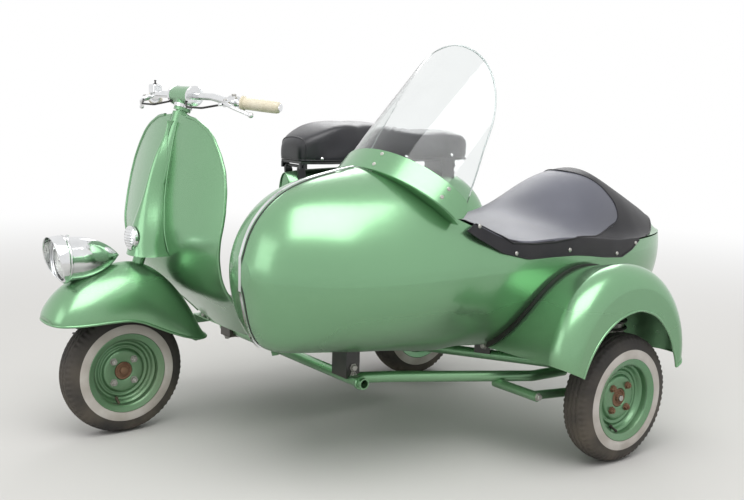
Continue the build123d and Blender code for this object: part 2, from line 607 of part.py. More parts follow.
# Clamps under the scooter floor and saddles under the tub
front_clamp = Pos(740, -60, 249) * Box(56, 60, 37) - cylinder((740, -130, TUBE_Z), (740, 130, TUBE_Z), 16.3)
save("clamp_front", front_clamp)
rear_clamp = Pos(560, 64, 249) * Rot(0, 0, 30.8) * Box(60, 56, 37)
rear_clamp = rear_clamp - cylinder((600, -3, TUBE_Z), (503, 160, TUBE_Z), 16.3)
save("clamp_rear", rear_clamp)
saddle = Pos(740, 585, 300) * Box(46, 70, 90) - cylinder((740, 500, TUBE_Z), (740, 700, TUBE_Z), 16.3)
saddle = saddle - tub_form(SEAT_GAP) - rail_space
save("saddle_front", saddle)
saddle = Pos(230, 617, 290) * Rot(0, 0, 30.8) * Box(46, 50, 66)
saddle = saddle - cylinder((600, -3, TUBE_Z), (136, 775, TUBE_Z), 16.3) - tub_form(0.5)
save("saddle_rear", saddle)

# Side wheel arm with pivot barrel and axle, and its spring leg
ARM_Y = 925
pivot = cylinder((330, 772, 215), (330, ARM_Y + 18, 215), 14) - rail_space
arm = rod([(330, ARM_Y, 215), (70, ARM_Y, WHEEL_R), (-96, ARM_Y, 202)], 13, 60)
side_axle = cylinder((SIDE_WHEEL[0], ARM_Y, WHEEL_R), (SIDE_WHEEL[0], SIDE_WHEEL[1] + 16, WHEEL_R), AXLE_R)
save("side_arm", pivot + arm + side_axle)
LEG_IN = ARM_Y - 35.3
side_damper = cylinder((-58, LEG_IN, 196), (-66, LEG_IN, 432), 22)
side_damper = side_damper + cylinder((-65, LEG_IN - 5, 414), (-65, 800, 414), 9) - tub_form(SEAT_GAP)
save("side_damper", side_damper)
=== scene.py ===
import math

import bmesh
import bpy
import numpy as np
from mathutils import Matrix, Vector
from mathutils.bvhtree import BVHTree


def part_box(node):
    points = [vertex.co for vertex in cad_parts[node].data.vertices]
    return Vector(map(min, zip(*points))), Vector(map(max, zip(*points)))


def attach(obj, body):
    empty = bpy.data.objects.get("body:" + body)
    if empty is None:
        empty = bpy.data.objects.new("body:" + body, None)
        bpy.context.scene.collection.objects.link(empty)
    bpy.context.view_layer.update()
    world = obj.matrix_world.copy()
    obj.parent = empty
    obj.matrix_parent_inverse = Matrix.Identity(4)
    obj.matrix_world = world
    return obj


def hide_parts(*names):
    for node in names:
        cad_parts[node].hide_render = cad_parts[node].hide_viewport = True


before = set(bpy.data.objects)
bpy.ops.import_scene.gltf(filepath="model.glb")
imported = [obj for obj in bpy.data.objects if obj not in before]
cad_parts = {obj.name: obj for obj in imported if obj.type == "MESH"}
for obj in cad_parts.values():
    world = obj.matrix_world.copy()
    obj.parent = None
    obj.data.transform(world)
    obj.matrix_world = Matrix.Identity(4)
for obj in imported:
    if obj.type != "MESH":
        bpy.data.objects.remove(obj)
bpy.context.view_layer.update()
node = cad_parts

# Studio: a pale sweep of floor, a large soft sky and soft boxes. The camera stands front
# left of the vehicle at chest height and looks slightly down.
SHIFT = Vector((-0.4465, -0.345, 0.0))


def at(x, y, z):
    """Point of the row frame, in metres, from vehicle millimetres."""
    return Vector((x / 1000, y / 1000, z / 1000)) + SHIFT


def look_matrix(yaw, pitch, roll):
    """Camera axes from its heading, downward tilt and roll, in degrees."""
    yaw, pitch, roll = (math.radians(a) for a in (yaw, pitch, roll))
    forward = Vector((math.cos(yaw) * math.cos(pitch), math.sin(yaw) * math.cos(pitch), -math.sin(pitch)))
    right = forward.cross(Vector((0, 0, 1))).normalized()
    up = right.cross(forward)
    side = right * math.cos(roll) + up * math.sin(roll)
    top = up * math.cos(roll) - right * math.sin(roll)
    return Matrix((side, top, -forward)).transposed().to_4x4()


FOCAL_PX = 1000
IMAGE_PX = 744
scene = bpy.context.scene
scene.view_settings.view_transform = "Standard"
lens = bpy.data.cameras.new("photo_lens")
lens.lens = FOCAL_PX / IMAGE_PX * lens.sensor_width
camera = bpy.data.objects.new("photo_camera", lens)
camera.matrix_world = Matrix.Translation(at(2363, 2800, 1073)) @ look_matrix(232.4, 9.45, 1.6)
scene.collection.objects.link(camera)
scene.camera = camera


def wire(tree, start, end):
    """Links one socket to another, each given as (shader node, socket name or number)."""
    tree.links.new(start[0].outputs[start[1]], end[0].inputs[end[1]])


def add_node(tree, kind, **values):
    """New shader node with its input sockets set by name; spaces are written as underscores."""
    made = tree.nodes.new("ShaderNode" + kind)
    for key, value in values.items():
        made.inputs[key.replace("_", " ")].default_value = value
    return made


def calc(tree, operation, kind="Math"):
    """New maths node set to one operation."""
    made = tree.nodes.new("ShaderNode" + kind)
    made.operation = operation
    return made


def colour_stops(made, stops):
    """Sets a colour ramp from (position, colour) rows."""
    ramp = made.color_ramp
    while len(ramp.elements) < len(stops):
        ramp.elements.new(0.5)
    for element, (place, colour) in zip(ramp.elements, stops):
        element.position = place
        element.color = (*colour, 1)
    return made


world = bpy.data.worlds.new("studio")
scene.world = world
world.use_nodes = True
sky = world.node_tree
sky.nodes.clear()
sky_out = add_node(sky, "OutputWorld")
sky_mix = add_node(sky, "MixShader")
plain = add_node(sky, "Background", Color=(1, 1, 1, 1), Strength=1.0)
lit = add_node(sky, "Background", Strength=0.9)
coords = add_node(sky, "TexCoord")
height = add_node(sky, "SeparateXYZ")
span = add_node(sky, "MapRange", From_Min=-1.0)
ramp = colour_stops(add_node(sky, "ValToRGB"), [
    (0.46, (0.14, 0.13, 0.11)), (0.51, (0.18, 0.17, 0.16)), (0.60, (0.30, 0.30, 0.30)),
    (0.72, (0.85, 0.86, 0.88)), (1.0, (1.0, 1.0, 1.0))])
wire(sky, (coords, "Generated"), (height, "Vector"))
wire(sky, (height, "Z"), (span, "Value"))
wire(sky, (span, "Result"), (ramp, "Fac"))
wire(sky, (ramp, "Color"), (lit, "Color"))


def seen_rays(tree):
    """Factor that is 1 for rays of the camera, and for what metal mirrors and glass lets through."""
    path = add_node(tree, "LightPath")
    total = (path, "Is Camera Ray")
    for extra in ("Is Glossy Ray", "Is Transmission Ray"):
        either = calc(tree, "MAXIMUM")
        wire(tree, total, (either, 0))
        wire(tree, (path, extra), (either, 1))
        total = (either, "Value")
    return total


wire(sky, seen_rays(sky), (sky_mix, "Fac"))
wire(sky, (lit, "Background"), (sky_mix, 1))
wire(sky, (plain, "Background"), (sky_mix, 2))
wire(sky, (sky_mix, "Shader"), (sky_out, "Surface"))

# Lamp name, place and aim in metres, width, height, watts
lamp_rows = [
    ("key_box", (1.0, 1.6, 3.8), (0.0, 0.3, 0.5), 3.6, 3.0, 130),
    ("fill_box", (4.2, -0.4, 1.8), (0.2, 0.0, 0.5), 2.4, 2.4, 26),
    ("back_box", (-2.6, -2.6, 3.0), (0.0, 0.0, 0.6), 3.0, 2.0, 60),
]
for name, place, aim, width, tall, watts in lamp_rows:
    light = bpy.data.lights.new(name, "AREA")
    light.shape = "RECTANGLE"
    light.size = width
    light.size_y = tall
    light.energy = watts
    lamp = bpy.data.objects.new(name, light)
    lamp.location = place
    lamp.rotation_euler = (Vector(aim) - Vector(place)).to_track_quat("-Z", "Y").to_euler()
    scene.collection.objects.link(lamp)

floor_mesh = bpy.data.meshes.new("studio_floor")
floor_mesh.from_pydata([(-30, -30, 0), (30, -30, 0), (30, 30, 0), (-30, 30, 0)], [], [(0, 1, 2, 3)])
floor = bpy.data.objects.new("studio_floor", floor_mesh)
scene.collection.objects.link(floor)


def new_material(name):
    """New material with its node tree and its surface shader."""
    made = bpy.data.materials.new(name)
    made.use_nodes = True
    return made, made.node_tree, made.node_tree.nodes["Principled BSDF"]


floor_paint, floor_tree, floor_shader = new_material("studio_floor_paint")
floor_shader.inputs["Base Color"].default_value = (0.54, 0.53, 0.51, 1)
floor_shader.inputs["Roughness"].default_value = 0.9
floor_spot = add_node(floor_tree, "TexCoord")
floor_reach = calc(floor_tree, "LENGTH", "VectorMath")
floor_fade = add_node(floor_tree, "MapRange", From_Min=1.4, From_Max=5.5)
floor_fade.interpolation_type = "SMOOTHSTEP"
floor_share = calc(floor_tree, "MULTIPLY")
floor_white = add_node(floor_tree, "Emission", Strength=1.0)
floor_mix = add_node(floor_tree, "MixShader")
wire(floor_tree, (floor_spot, "Object"), (floor_reach, 0))
wire(floor_tree, (floor_reach, "Value"), (floor_fade, "Value"))
wire(floor_tree, (floor_fade, "Result"), (floor_share, 0))
wire(floor_tree, seen_rays(floor_tree), (floor_share, 1))
wire(floor_tree, (floor_share, "Value"), (floor_mix, "Fac"))
wire(floor_tree, (floor_shader, "BSDF"), (floor_mix, 1))
wire(floor_tree, (floor_white, "Emission"), (floor_mix, 2))
wire(floor_tree, (floor_mix, "Shader"), (floor_tree.nodes["Material Output"], "Surface"))
floor_mesh.materials.append(floor_paint)

# Tyres: black bias-ply rubber with a pale vulcanised side band, zigzag tread grooves and
# notched shoulders, pressed over the rims between the bead flanges.
MM = 0.001
TREAD_PITCHES = 64
TREAD_DEPTH = 3.2
TREAD_LINES = (-14, 0, 14)
WHEEL_R = 190
RUBBER_BLACK = (0.022, 0.020, 0.019, 1)
BAND_WHITE = (0.56, 0.53, 0.49, 1)


def mix_colour(tree, second):
    """New colour mixer towards a second colour."""
    made = tree.nodes.new("ShaderNodeMix")
    made.data_type = "RGBA"
    made.inputs["B"].default_value = second
    return made


def use_group(tree, group, **values):
    """New node that runs a group, with its input sockets set by name."""
    made = tree.nodes.new("ShaderNodeGroup")
    made.node_tree = group
    for key, value in values.items():
        made.inputs[key.replace("_", " ")].default_value = value
    return made


def grime_group():
    """Group: soft cloudy mask, dust mask that grows towards the ground, and fine grain height."""
    group = bpy.data.node_groups.new("surface_wear", "ShaderNodeTree")
    for label, start in (("Cloud Scale", 8.0), ("Grain Scale", 300.0), ("Dust Top", 0.4)):
        group.interface.new_socket(label, in_out="INPUT", socket_type="NodeSocketFloat").default_value = start
    for label in ("Cloud", "Dust", "Grain"):
        group.interface.new_socket(label, in_out="OUTPUT", socket_type="NodeSocketFloat")
    given = group.nodes.new("NodeGroupInput")
    result = group.nodes.new("NodeGroupOutput")
    place = add_node(group, "TexCoord")
    cloud = add_node(group, "TexNoise", Detail=6.0)
    grain = add_node(group, "TexVoronoi")
    wire(group, (place, "Object"), (cloud, "Vector"))
    wire(group, (place, "Object"), (grain, "Vector"))
    wire(group, (given, "Cloud Scale"), (cloud, "Scale"))
    wire(group, (given, "Grain Scale"), (grain, "Scale"))
    parts = add_node(group, "SeparateXYZ")
    fade = add_node(group, "MapRange", From_Max=0.02)
    patch = add_node(group, "MapRange", From_Min=0.38, From_Max=0.72)
    dust = calc(group, "MULTIPLY")
    wire(group, (place, "Object"), (parts, "Vector"))
    wire(group, (parts, "Z"), (fade, "Value"))
    wire(group, (given, "Dust Top"), (fade, "From Min"))
    wire(group, (cloud, "Fac"), (patch, "Value"))
    wire(group, (fade, "Result"), (dust, 0))
    wire(group, (patch, "Result"), (dust, 1))
    wire(group, (cloud, "Fac"), (result, "Cloud"))
    wire(group, (dust, "Value"), (result, "Dust"))
    wire(group, (grain, "Distance"), (result, "Grain"))
    return group


wear = grime_group()
DUST_BROWN = (0.20, 0.165, 0.12, 1)


def finish_material(name, colour, second, rough, cloud=8.0, grain=300.0, depth=0.0003, dust=0.4, dust_top=0.4,
                    rough_spread=0.12, metallic=0.0):
    """Solid finish that drifts between two colours, dusty low down, with a fine grain."""
    made, tree, shader = new_material(name)
    shader.inputs["Metallic"].default_value = metallic
    worn = use_group(tree, wear, Cloud_Scale=cloud, Grain_Scale=grain, Dust_Top=dust_top)
    drift = add_node(tree, "MapRange", From_Min=0.3, From_Max=0.7)
    tint = mix_colour(tree, second)
    tint.inputs["A"].default_value = colour
    soiled = mix_colour(tree, DUST_BROWN)
    share = calc(tree, "MULTIPLY")
    share.inputs[1].default_value = dust
    gloss = add_node(tree, "MapRange", To_Min=rough, To_Max=rough + rough_spread)
    bump = add_node(tree, "Bump", Strength=0.5, Distance=depth)
    wire(tree, (worn, "Cloud"), (drift, "Value"))
    wire(tree, (drift, "Result"), (tint, "Factor"))
    wire(tree, (tint, "Result"), (soiled, "A"))
    wire(tree, (worn, "Dust"), (share, 0))
    wire(tree, (share, "Value"), (soiled, "Factor"))
    wire(tree, (soiled, "Result"), (shader, "Base Color"))
    wire(tree, (worn, "Cloud"), (gloss, "Value"))
    wire(tree, (gloss, "Result"), (shader, "Roughness"))
    wire(tree, (worn, "Grain"), (bump, "Height"))
    wire(tree, (bump, "Normal"), (shader, "Normal"))
    return made


def piece(name, verts, faces, body, mats, kinds=None, smooth=True):
    """Mesh piece from points in metres that rides on a body; kinds gives each face's material."""
    mesh = bpy.data.meshes.new(name)
    mesh.from_pydata([tuple(v) for v in verts], [], faces)
    for made in mats:
        mesh.materials.append(made)
    if kinds:
        mesh.polygons.foreach_set("material_index", kinds)
    mesh.polygons.foreach_set("use_smooth", [smooth] * len(mesh.polygons))
    made = bpy.data.objects.new(name, mesh)
    scene.collection.objects.link(made)
    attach(made, body)
    return made


def angles(count, closed=True):
    """Evenly spaced angles round a full turn, or from 0 to half a turn with both ends."""
    return [2 * math.pi * k / count if closed else math.pi * k / count for k in range(count + (not closed))]


def grid_faces(rows, count, closed=False, first=0, flip=False):
    """Quads between rows of points, each with count points, that are stored row by row."""
    faces = []
    for row in range(rows - 1):
        for k in range(count if closed else count - 1):
            a, b = first + row * count + k, first + row * count + (k + 1) % count
            faces.append((a, a + count, b + count, b) if flip else (a, b, b + count, a + count))
    return faces


def weld(mesh, gap=0.000001, outward=False):
    """Joins points that fall together and, where asked, turns the faces outward."""
    work = bmesh.new()
    work.from_mesh(mesh)
    bmesh.ops.remove_doubles(work, verts=work.verts, dist=gap)
    if outward:
        bmesh.ops.recalc_face_normals(work, faces=work.faces)
    work.to_mesh(mesh)
    work.free()


def wheel_lathe(name, rows, marks, centre, body, mats, turns, relief=None):
    """Turned ring about a wheel's axle from a closed loop of (across, radius) rows."""
    verts, faces, kinds = [], [], []
    count = len(rows)
    for i in range(turns):
        turn = 2 * math.pi * i / turns
        for across, radius in rows:
            r = radius - (relief(turn, across, radius) if relief else 0)
            verts.append(centre + Vector((r * math.cos(turn), across, r * math.sin(turn))) * MM)
    for i in range(turns):
        ahead = (i + 1) % turns
        for j in range(count):
            k = (j + 1) % count
            faces.append((i * count + j, i * count + k, ahead * count + k, ahead * count + j))
            kinds.append(marks[j])
    return piece(name, verts, faces, body, mats, kinds)


def tread_relief(turn, across, radius):
    """Depth of the zigzag grooves and shoulder notches at a point of the tread."""
    if radius < 176:
        return 0
    phase = (turn * TREAD_PITCHES / (2 * math.pi)) % 1
    zig = abs(phase - 0.5) * 4 - 1
    depth = 0
    for line in TREAD_LINES:
        depth = max(depth, min(1, max(0, 2.6 - abs(across - line - 2.2 * zig))))
    if abs(across) > 24 and phase < 0.3:
        depth = 1
    return depth * TREAD_DEPTH


# Tyre wall from the bead outwards: across, radius
wall_rows = [(24, 101), (37.5, 101), (39, 106), (43, 114), (45.2, 121), (46.2, 123), (46.8, 134),
             (46.4, 146), (45.6, 149), (44.9, 150.5), (44.2, 160), (41.5, 169), (38.6, 176), (36.4, 180)]
CROWN_STEPS = 46
crown_rows = [(y, WHEEL_R - 9 * (y / 36) ** 2) for y in np.linspace(34.5, -34.5, CROWN_STEPS + 1).tolist()]
tyre_rows = wall_rows + crown_rows + [(-y, r) for y, r in reversed(wall_rows)]
band_zone = [121 <= min(a[1], b[1]) and max(a[1], b[1]) <= 149.5
             for a, b in zip(tyre_rows, tyre_rows[1:] + tyre_rows[:1])]
tyre_black = finish_material("tyre_black", RUBBER_BLACK, (0.045, 0.040, 0.035, 1), 0.68, depth=0.0004,
                             dust=0.5)
band_white = finish_material("tyre_white_band", BAND_WHITE, (0.46, 0.42, 0.38, 1), 0.5, 14.0, dust=0.35)

# Wheel prefix, body, hub centre
wheel_rows = [("front", "front_wheel", at(1160, 0, 190)), ("rear", "rear_wheel", at(0, 0, 190)),
              ("side", "side_wheel", at(70, 1005, 190))]
for prefix, body, centre in wheel_rows:
    tyre = wheel_lathe(prefix + "_tyre_moulded", tyre_rows, [int(z) for z in band_zone], centre, body,
                       [tyre_black, band_white], TREAD_PITCHES * 4, tread_relief)
    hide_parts(prefix + "_tyre")

# Wheel rims: two pressed steel halves bolted together and sprayed with the body, a stepped
# bowl around a raised middle with four studs. The hub shows through the centre hole.
JADE = (0.185, 0.37, 0.20, 1)
FLAKE = (0.62, 0.95, 0.66, 1)


def enamel_group():
    """Group: sprayed metallic tone with cloudy drift, metal flake, road dust and orange peel."""
    group = bpy.data.node_groups.new("enamel_tone", "ShaderNodeTree")
    group.interface.new_socket("Paint", in_out="INPUT", socket_type="NodeSocketColor")
    for label, start in (("Dust", 0.2), ("Flake", 0.1), ("Gloss", 0.3)):
        group.interface.new_socket(label, in_out="INPUT", socket_type="NodeSocketFloat").default_value = start
    for label, kind in (("Colour", "Color"), ("Roughness", "Float"), ("Height", "Float")):
        group.interface.new_socket(label, in_out="OUTPUT", socket_type="NodeSocket" + kind)
    given = group.nodes.new("NodeGroupInput")
    result = group.nodes.new("NodeGroupOutput")
    worn = use_group(group, wear, Cloud_Scale=2.6, Grain_Scale=900.0, Dust_Top=0.5)
    shade = add_node(group, "MapRange", To_Min=0.9, To_Max=1.1)
    tone = add_node(group, "HueSaturation")
    wire(group, (worn, "Cloud"), (shade, "Value"))
    wire(group, (shade, "Result"), (tone, "Value"))
    wire(group, (given, "Paint"), (tone, "Color"))
    spark = add_node(group, "MapRange", From_Min=0.34, From_Max=0.1)
    amount = calc(group, "MULTIPLY")
    flaked = mix_colour(group, FLAKE)
    wire(group, (worn, "Grain"), (spark, "Value"))
    wire(group, (spark, "Result"), (amount, 0))
    wire(group, (given, "Flake"), (amount, 1))
    wire(group, (amount, "Value"), (flaked, "Factor"))
    wire(group, (tone, "Color"), (flaked, "A"))
    dusty = calc(group, "MULTIPLY")
    soiled = mix_colour(group, DUST_BROWN)
    wire(group, (worn, "Dust"), (dusty, 0))
    wire(group, (given, "Dust"), (dusty, 1))
    wire(group, (dusty, "Value"), (soiled, "Factor"))
    wire(group, (flaked, "Result"), (soiled, "A"))
    wire(group, (soiled, "Result"), (result, "Colour"))
    haze = calc(group, "MULTIPLY_ADD")
    haze.inputs[1].default_value = 0.4
    wire(group, (dusty, "Value"), (haze, 0))
    wire(group, (given, "Gloss"), (haze, 2))
    wire(group, (haze, "Value"), (result, "Roughness"))
    place = add_node(group, "TexCoord")
    peel = add_node(group, "TexNoise", Scale=110.0, Detail=1.0)
    wire(group, (place, "Object"), (peel, "Vector"))
    wire(group, (peel, "Fac"), (result, "Height"))
    return group


enamel_tone = enamel_group()


def enamel(name, colour, gloss=0.27, dust=0.3, metallic=0.78, flake=0.35):
    """Metallic enamel under clear lacquer."""
    made, tree, shader = new_material(name)
    tone = use_group(tree, enamel_tone, Paint=colour, Dust=dust, Flake=flake, Gloss=gloss)
    bump = add_node(tree, "Bump", Strength=0.05, Distance=0.0006)
    wire(tree, (tone, "Colour"), (shader, "Base Color"))
    wire(tree, (tone, "Roughness"), (shader, "Roughness"))
    wire(tree, (tone, "Height"), (bump, "Height"))
    wire(tree, (bump, "Normal"), (shader, "Normal"))
    shader.inputs["Metallic"].default_value = metallic
    shader.inputs["Coat Weight"].default_value = 0.4
    shader.inputs["Coat Roughness"].default_value = 0.1
    return made


jade = enamel("jade_enamel", JADE)
wheel_jade = enamel("wheel_jade_enamel", (0.125, 0.28, 0.145, 1), 0.36, 0.6)

# Rim section, outer face first and then the brake side: across, radius
rim_rows = [(36, 100.3), (40, 103), (42.5, 108), (44, 114), (46.5, 119), (47, 121.4), (45.6, 122),
            (44.4, 120.6), (42.6, 115), (40.4, 110.5), (33, 106), (24, 103.5), (20.5, 101), (18.5, 97),
            (16.5, 94.5), (10, 92), (6.5, 89), (5.5, 85.5), (6.5, 82), (9.5, 79.8), (10.8, 77), (9.3, 74),
            (7, 71.3), (7.3, 68.6), (10.5, 66), (14.5, 63.8), (16.4, 60), (16.8, 55), (16.8, 30.5),
            (16, 28.6), (14, 27.6), (5, 27.4), (5, 64), (3, 70), (6, 76), (3, 86), (8, 92), (13, 95),
            (13, 96.4), (-30, 96.4), (-37, 98), (-41, 102), (-43.5, 110), (-46.5, 118), (-47, 121.4),
            (-45.6, 122), (-44.4, 120), (-41.5, 108), (-36, 100.3)]
for prefix, body, centre in wheel_rows:
    dish = wheel_lathe(prefix + "_rim_dish", rim_rows, [0] * len(rim_rows), centre, body,
                       [wheel_jade], 128)
    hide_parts(prefix + "_rim")


def turned_set(name, parts, body, made):
    """Turned bits in one mesh, each from its place, axis, (along, radius) rows and corner count."""
    verts, faces = [], []
    for place, axis, rows, corners in parts:
        spin = Vector(axis).to_track_quat("Z", "Y")
        first = len(verts)
        for along, radius in rows:
            for turn in angles(corners):
                flat = Vector((radius * math.cos(turn), radius * math.sin(turn), along))
                verts.append(place + spin @ flat * MM)
        faces += grid_faces(len(rows), corners, True, first)
    solid = piece(name, verts, faces, body, [made])
    weld(solid.data, outward=True)
    solid.data.set_sharp_from_angle(angle=math.radians(35))
    return solid


def round_line(name, lines, radius, body, made, closed=False):
    """Round bead or wire along smooth lines of points, in metres."""
    curve = bpy.data.curves.new(name, "CURVE")
    curve.dimensions = "3D"
    curve.bevel_depth = radius * MM
    curve.bevel_resolution = 3
    curve.use_fill_caps = not closed
    curve.materials.append(made)
    for points in lines:
        spline = curve.splines.new("NURBS")
        spline.points.add(len(points) - 1)
        for knot, place in zip(spline.points, points):
            knot.co = (*place, 1)
        spline.order_u = 3
        spline.use_cyclic_u = closed
        spline.use_endpoint_u = not closed
    line = bpy.data.objects.new(name, curve)
    scene.collection.objects.link(line)
    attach(line, body)
    return line


def metal(name, colour, rough, spread=0.15, stain=0.72, cloud=24.0):
    """Plated or bare metal, wiped hazy in patches and faintly pitted."""
    dull = tuple(c * stain for c in colour[:3]) + (1,)
    return finish_material(name, colour, dull, rough, cloud, 500.0, 0.00008, 0.25, 0.35, spread, 1.0)


zinc = metal("zinc_plate", (0.50, 0.49, 0.46, 1), 0.34, 0.25)
dark_hole = finish_material("dark_socket", (0.02, 0.018, 0.015, 1), (0.05, 0.035, 0.02, 1), 0.7)
rust = finish_material("rusty_steel", (0.12, 0.055, 0.03, 1), (0.24, 0.13, 0.07, 1), 0.75, 40.0, 700.0,
                       0.0004)

# Wheel fixings: four studs with nuts and washers hold each rim to its cast brake drum, and
# the axle end shows in the middle. The tyre valve comes out low on the bowl.
STUD_RADIUS = 46
NUT_ROWS = [(0, 0), (0, 12), (1.8, 12), (2, 9.5), (9, 9.5), (10, 8.4), (10, 5.2), (13, 5), (13.6, 4),
            (13.6, 0)]
cast_grey = finish_material("cast_drum", (0.20, 0.20, 0.19, 1), (0.30, 0.29, 0.27, 1), 0.55, 20.0, 500.0,
                            0.0004,
                            metallic=0.6)
drum_rows = [(-44, 0), (-44, 18), (-40, 24), (-38, 84), (-34, 89), (-14, 89), (-12, 86), (-4, 70), (0, 62),
             (3, 40), (4, 0)]
hub_rows = [(5, 26.6), (15.2, 26.6), (15.2, 22), (12, 20), (12, 12), (14, 11.5), (19, 11.5), (20, 10),
            (20, 0)]
valve_rows = [(0, 0), (0, 5), (5, 5), (6, 3.6), (20, 3.4), (21, 4.2), (28, 4.2), (29, 3), (29, 0)]
for prefix, body, centre in wheel_rows:
    nut_look = rust if prefix == "side" else zinc
    studs = []
    for quarter in range(4):
        turn = math.radians(45 + 90 * quarter)
        spot = Vector((STUD_RADIUS * math.cos(turn), 16.8, STUD_RADIUS * math.sin(turn)))
        studs.append((centre + spot * MM, (0, 1, 0), NUT_ROWS, 6))
    turned_set(prefix + "_wheel_nuts", studs, body, nut_look)
    turned_set(prefix + "_brake_drum", [(centre, (0, 1, 0), drum_rows, 64)], body, cast_grey)
    turned_set(prefix + "_axle_end", [(centre, (0, 1, 0), hub_rows, 32)], body, rust)
    low_spot = centre + Vector((22, 9, -84)) * MM
    turned_set(prefix + "_tyre_valve", [(low_spot, (0.1, 0.9, -0.3), valve_rows, 12)], body,
               dark_hole)

# Leg shield: one pressed sheet that bends back into the floor, sprayed body green on both
# faces. Its edge is rolled over a wire, and a folded ridge runs down each side of the cover.
EDGE_R = 5.0
RIDGE_R = 2.4


def dress(names, made):
    """Puts one material on CAD nodes."""
    for item in names:
        node[item].data.materials.clear()
        node[item].data.materials.append(made)


def skin_of(item):
    """Search tree over an object's faces."""
    mesh = item.data
    return BVHTree.FromPolygons([v.co[:] for v in mesh.vertices], [p.vertices[:] for p in mesh.polygons])


def surface_of(name):
    """Search tree over a CAD node's faces."""
    return skin_of(node[name])


def hits(skin, rays):
    """Points of a skin met by rays, each a start and an aim; a ray that misses is left out."""
    found = [skin.ray_cast(start, aim)[0] for start, aim in rays]
    return [place for place in found if place]


def resample(rows, count):
    """Evenly spaced points along a line of (a, b) or longer rows."""
    rows = np.array(rows, float)
    steps = np.linalg.norm(np.diff(rows, axis=0), axis=1)
    run = np.concatenate(([0], np.cumsum(steps)))
    spots = np.linspace(0, run[-1], count)
    return np.stack([np.interp(spots, run, rows[:, k]) for k in range(rows.shape[1])], axis=1).tolist()


dress(["leg_shield", "column_cover"], jade)
shield = surface_of("leg_shield")
shield_edge = [(36, 967), (125, 955), (190, 930), (229, 905), (270, 860), (300, 815), (318, 760),
               (326, 700), (326, 660), (320, 600), (310, 540), (290, 465), (268, 370), (256, 310),
               (252, 284)]
ridge_line = [(76, 556), (64, 606), (52, 652), (38, 702), (29, 772), (25.5, 860), (24, 936)]
edge_lines, ridge_lines = [], []
for hand in (1, -1):
    for rows, lines, inset, count in ((shield_edge, edge_lines, 1.5, 70), (ridge_line, ridge_lines, 0, 40)):
        line = []
        for y, z in resample(rows, count):
            place = shield.ray_cast(at(1500, hand * (y - inset), z - inset), Vector((-1, 0, 0)))[0]
            if place:
                line.append(place + Vector((-1.0 if inset else 0.6, 0, 0)) * MM)
        lines.append(line)
round_line("shield_rolled_edge", edge_lines, EDGE_R, "chassis", jade)
round_line("shield_cover_ridges", ridge_lines, RIDGE_R, "chassis", jade)

# Horn: a chromed pressed grille with slots under a plain rim, let into the column cover.
HORN_AT = at(1117, 0, 594)
HORN_R = 37
HORN_RINGS = 26
HORN_TURNS = 96
SLOT_PITCH = 8.5
chrome = metal("bright_chrome", (0.80, 0.81, 0.82, 1), 0.05, 0.10, 0.86)
horn_verts = []
for ring in range(HORN_RINGS + 1):
    share = ring / HORN_RINGS
    radius = HORN_R * min(1, share * 1.12)
    for turn in angles(HORN_TURNS):
        y, z = radius * math.cos(turn), radius * math.sin(turn)
        bulge = 11 + 14 * (1 - (radius / HORN_R) ** 2)
        if radius < HORN_R * 0.8:
            bulge -= 2.2 * max(0, math.cos(2 * math.pi * z / SLOT_PITCH)) ** 2 + 1.2
        if share > 0.9:
            bulge = 11 * (1 - (share - 0.9) / 0.1)
        horn_verts.append(HORN_AT + Vector((bulge, y, z)) * MM)
horn_faces = grid_faces(HORN_RINGS + 1, HORN_TURNS, True)
horn_grille = piece("horn_grille", horn_verts, horn_faces, "chassis", [chrome])
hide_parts("horn")
weld(horn_grille.data)

# Front fender: a deep rounded mudguard that turns with the wheel, its lip wired and flared
# and its nose closed by a small turned-in cap.
LIP_R = 4.0
dress(["front_fender"], jade)
# Fender lip: x, z and half-width
lip_rows = [(1386, 366, 52), (1372, 366, 78), (1341, 366, 96), (1290, 367, 105), (1221, 369, 108),
            (1155, 366, 108), (1085, 333, 107), (1028, 306, 105), (980, 288, 101), (942, 278, 92)]
near_lip = [at(x, half + 1, z) for x, z, half in reversed(lip_rows)]
far_lip = [at(x, -half - 1, z) for x, z, half in lip_rows]
nose = [at(1389, 26, 365), at(1391, 0, 365), at(1389, -26, 365)]
round_line("front_fender_lip", [near_lip + nose + far_lip], LIP_R, "steering", jade)
tail_arch = [at(942 - 52 * math.sin(turn), 92 * math.cos(turn), 278 - 3 * math.sin(turn))
             for turn in angles(24, False)]
round_line("front_fender_tail_edge", [tail_arch], 3.0, "steering", jade)
cap_verts = []
CAP_RINGS = 5
CAP_TURNS = 24
for ring in range(CAP_RINGS + 1):
    share = math.sin(0.5 * math.pi * ring / CAP_RINGS)
    ahead = 2.5 * math.cos(0.5 * math.pi * ring / CAP_RINGS)
    for turn in angles(CAP_TURNS, False):
        up = 19 * math.sin(turn) * share
        cap_verts.append(at(1386 + ahead + 0.31 * up, 52 * math.cos(turn) * share, 364 + up))
cap_faces = grid_faces(CAP_RINGS + 1, CAP_TURNS + 1)
piece("front_fender_nose_cap", cap_verts, cap_faces, "steering", [jade])

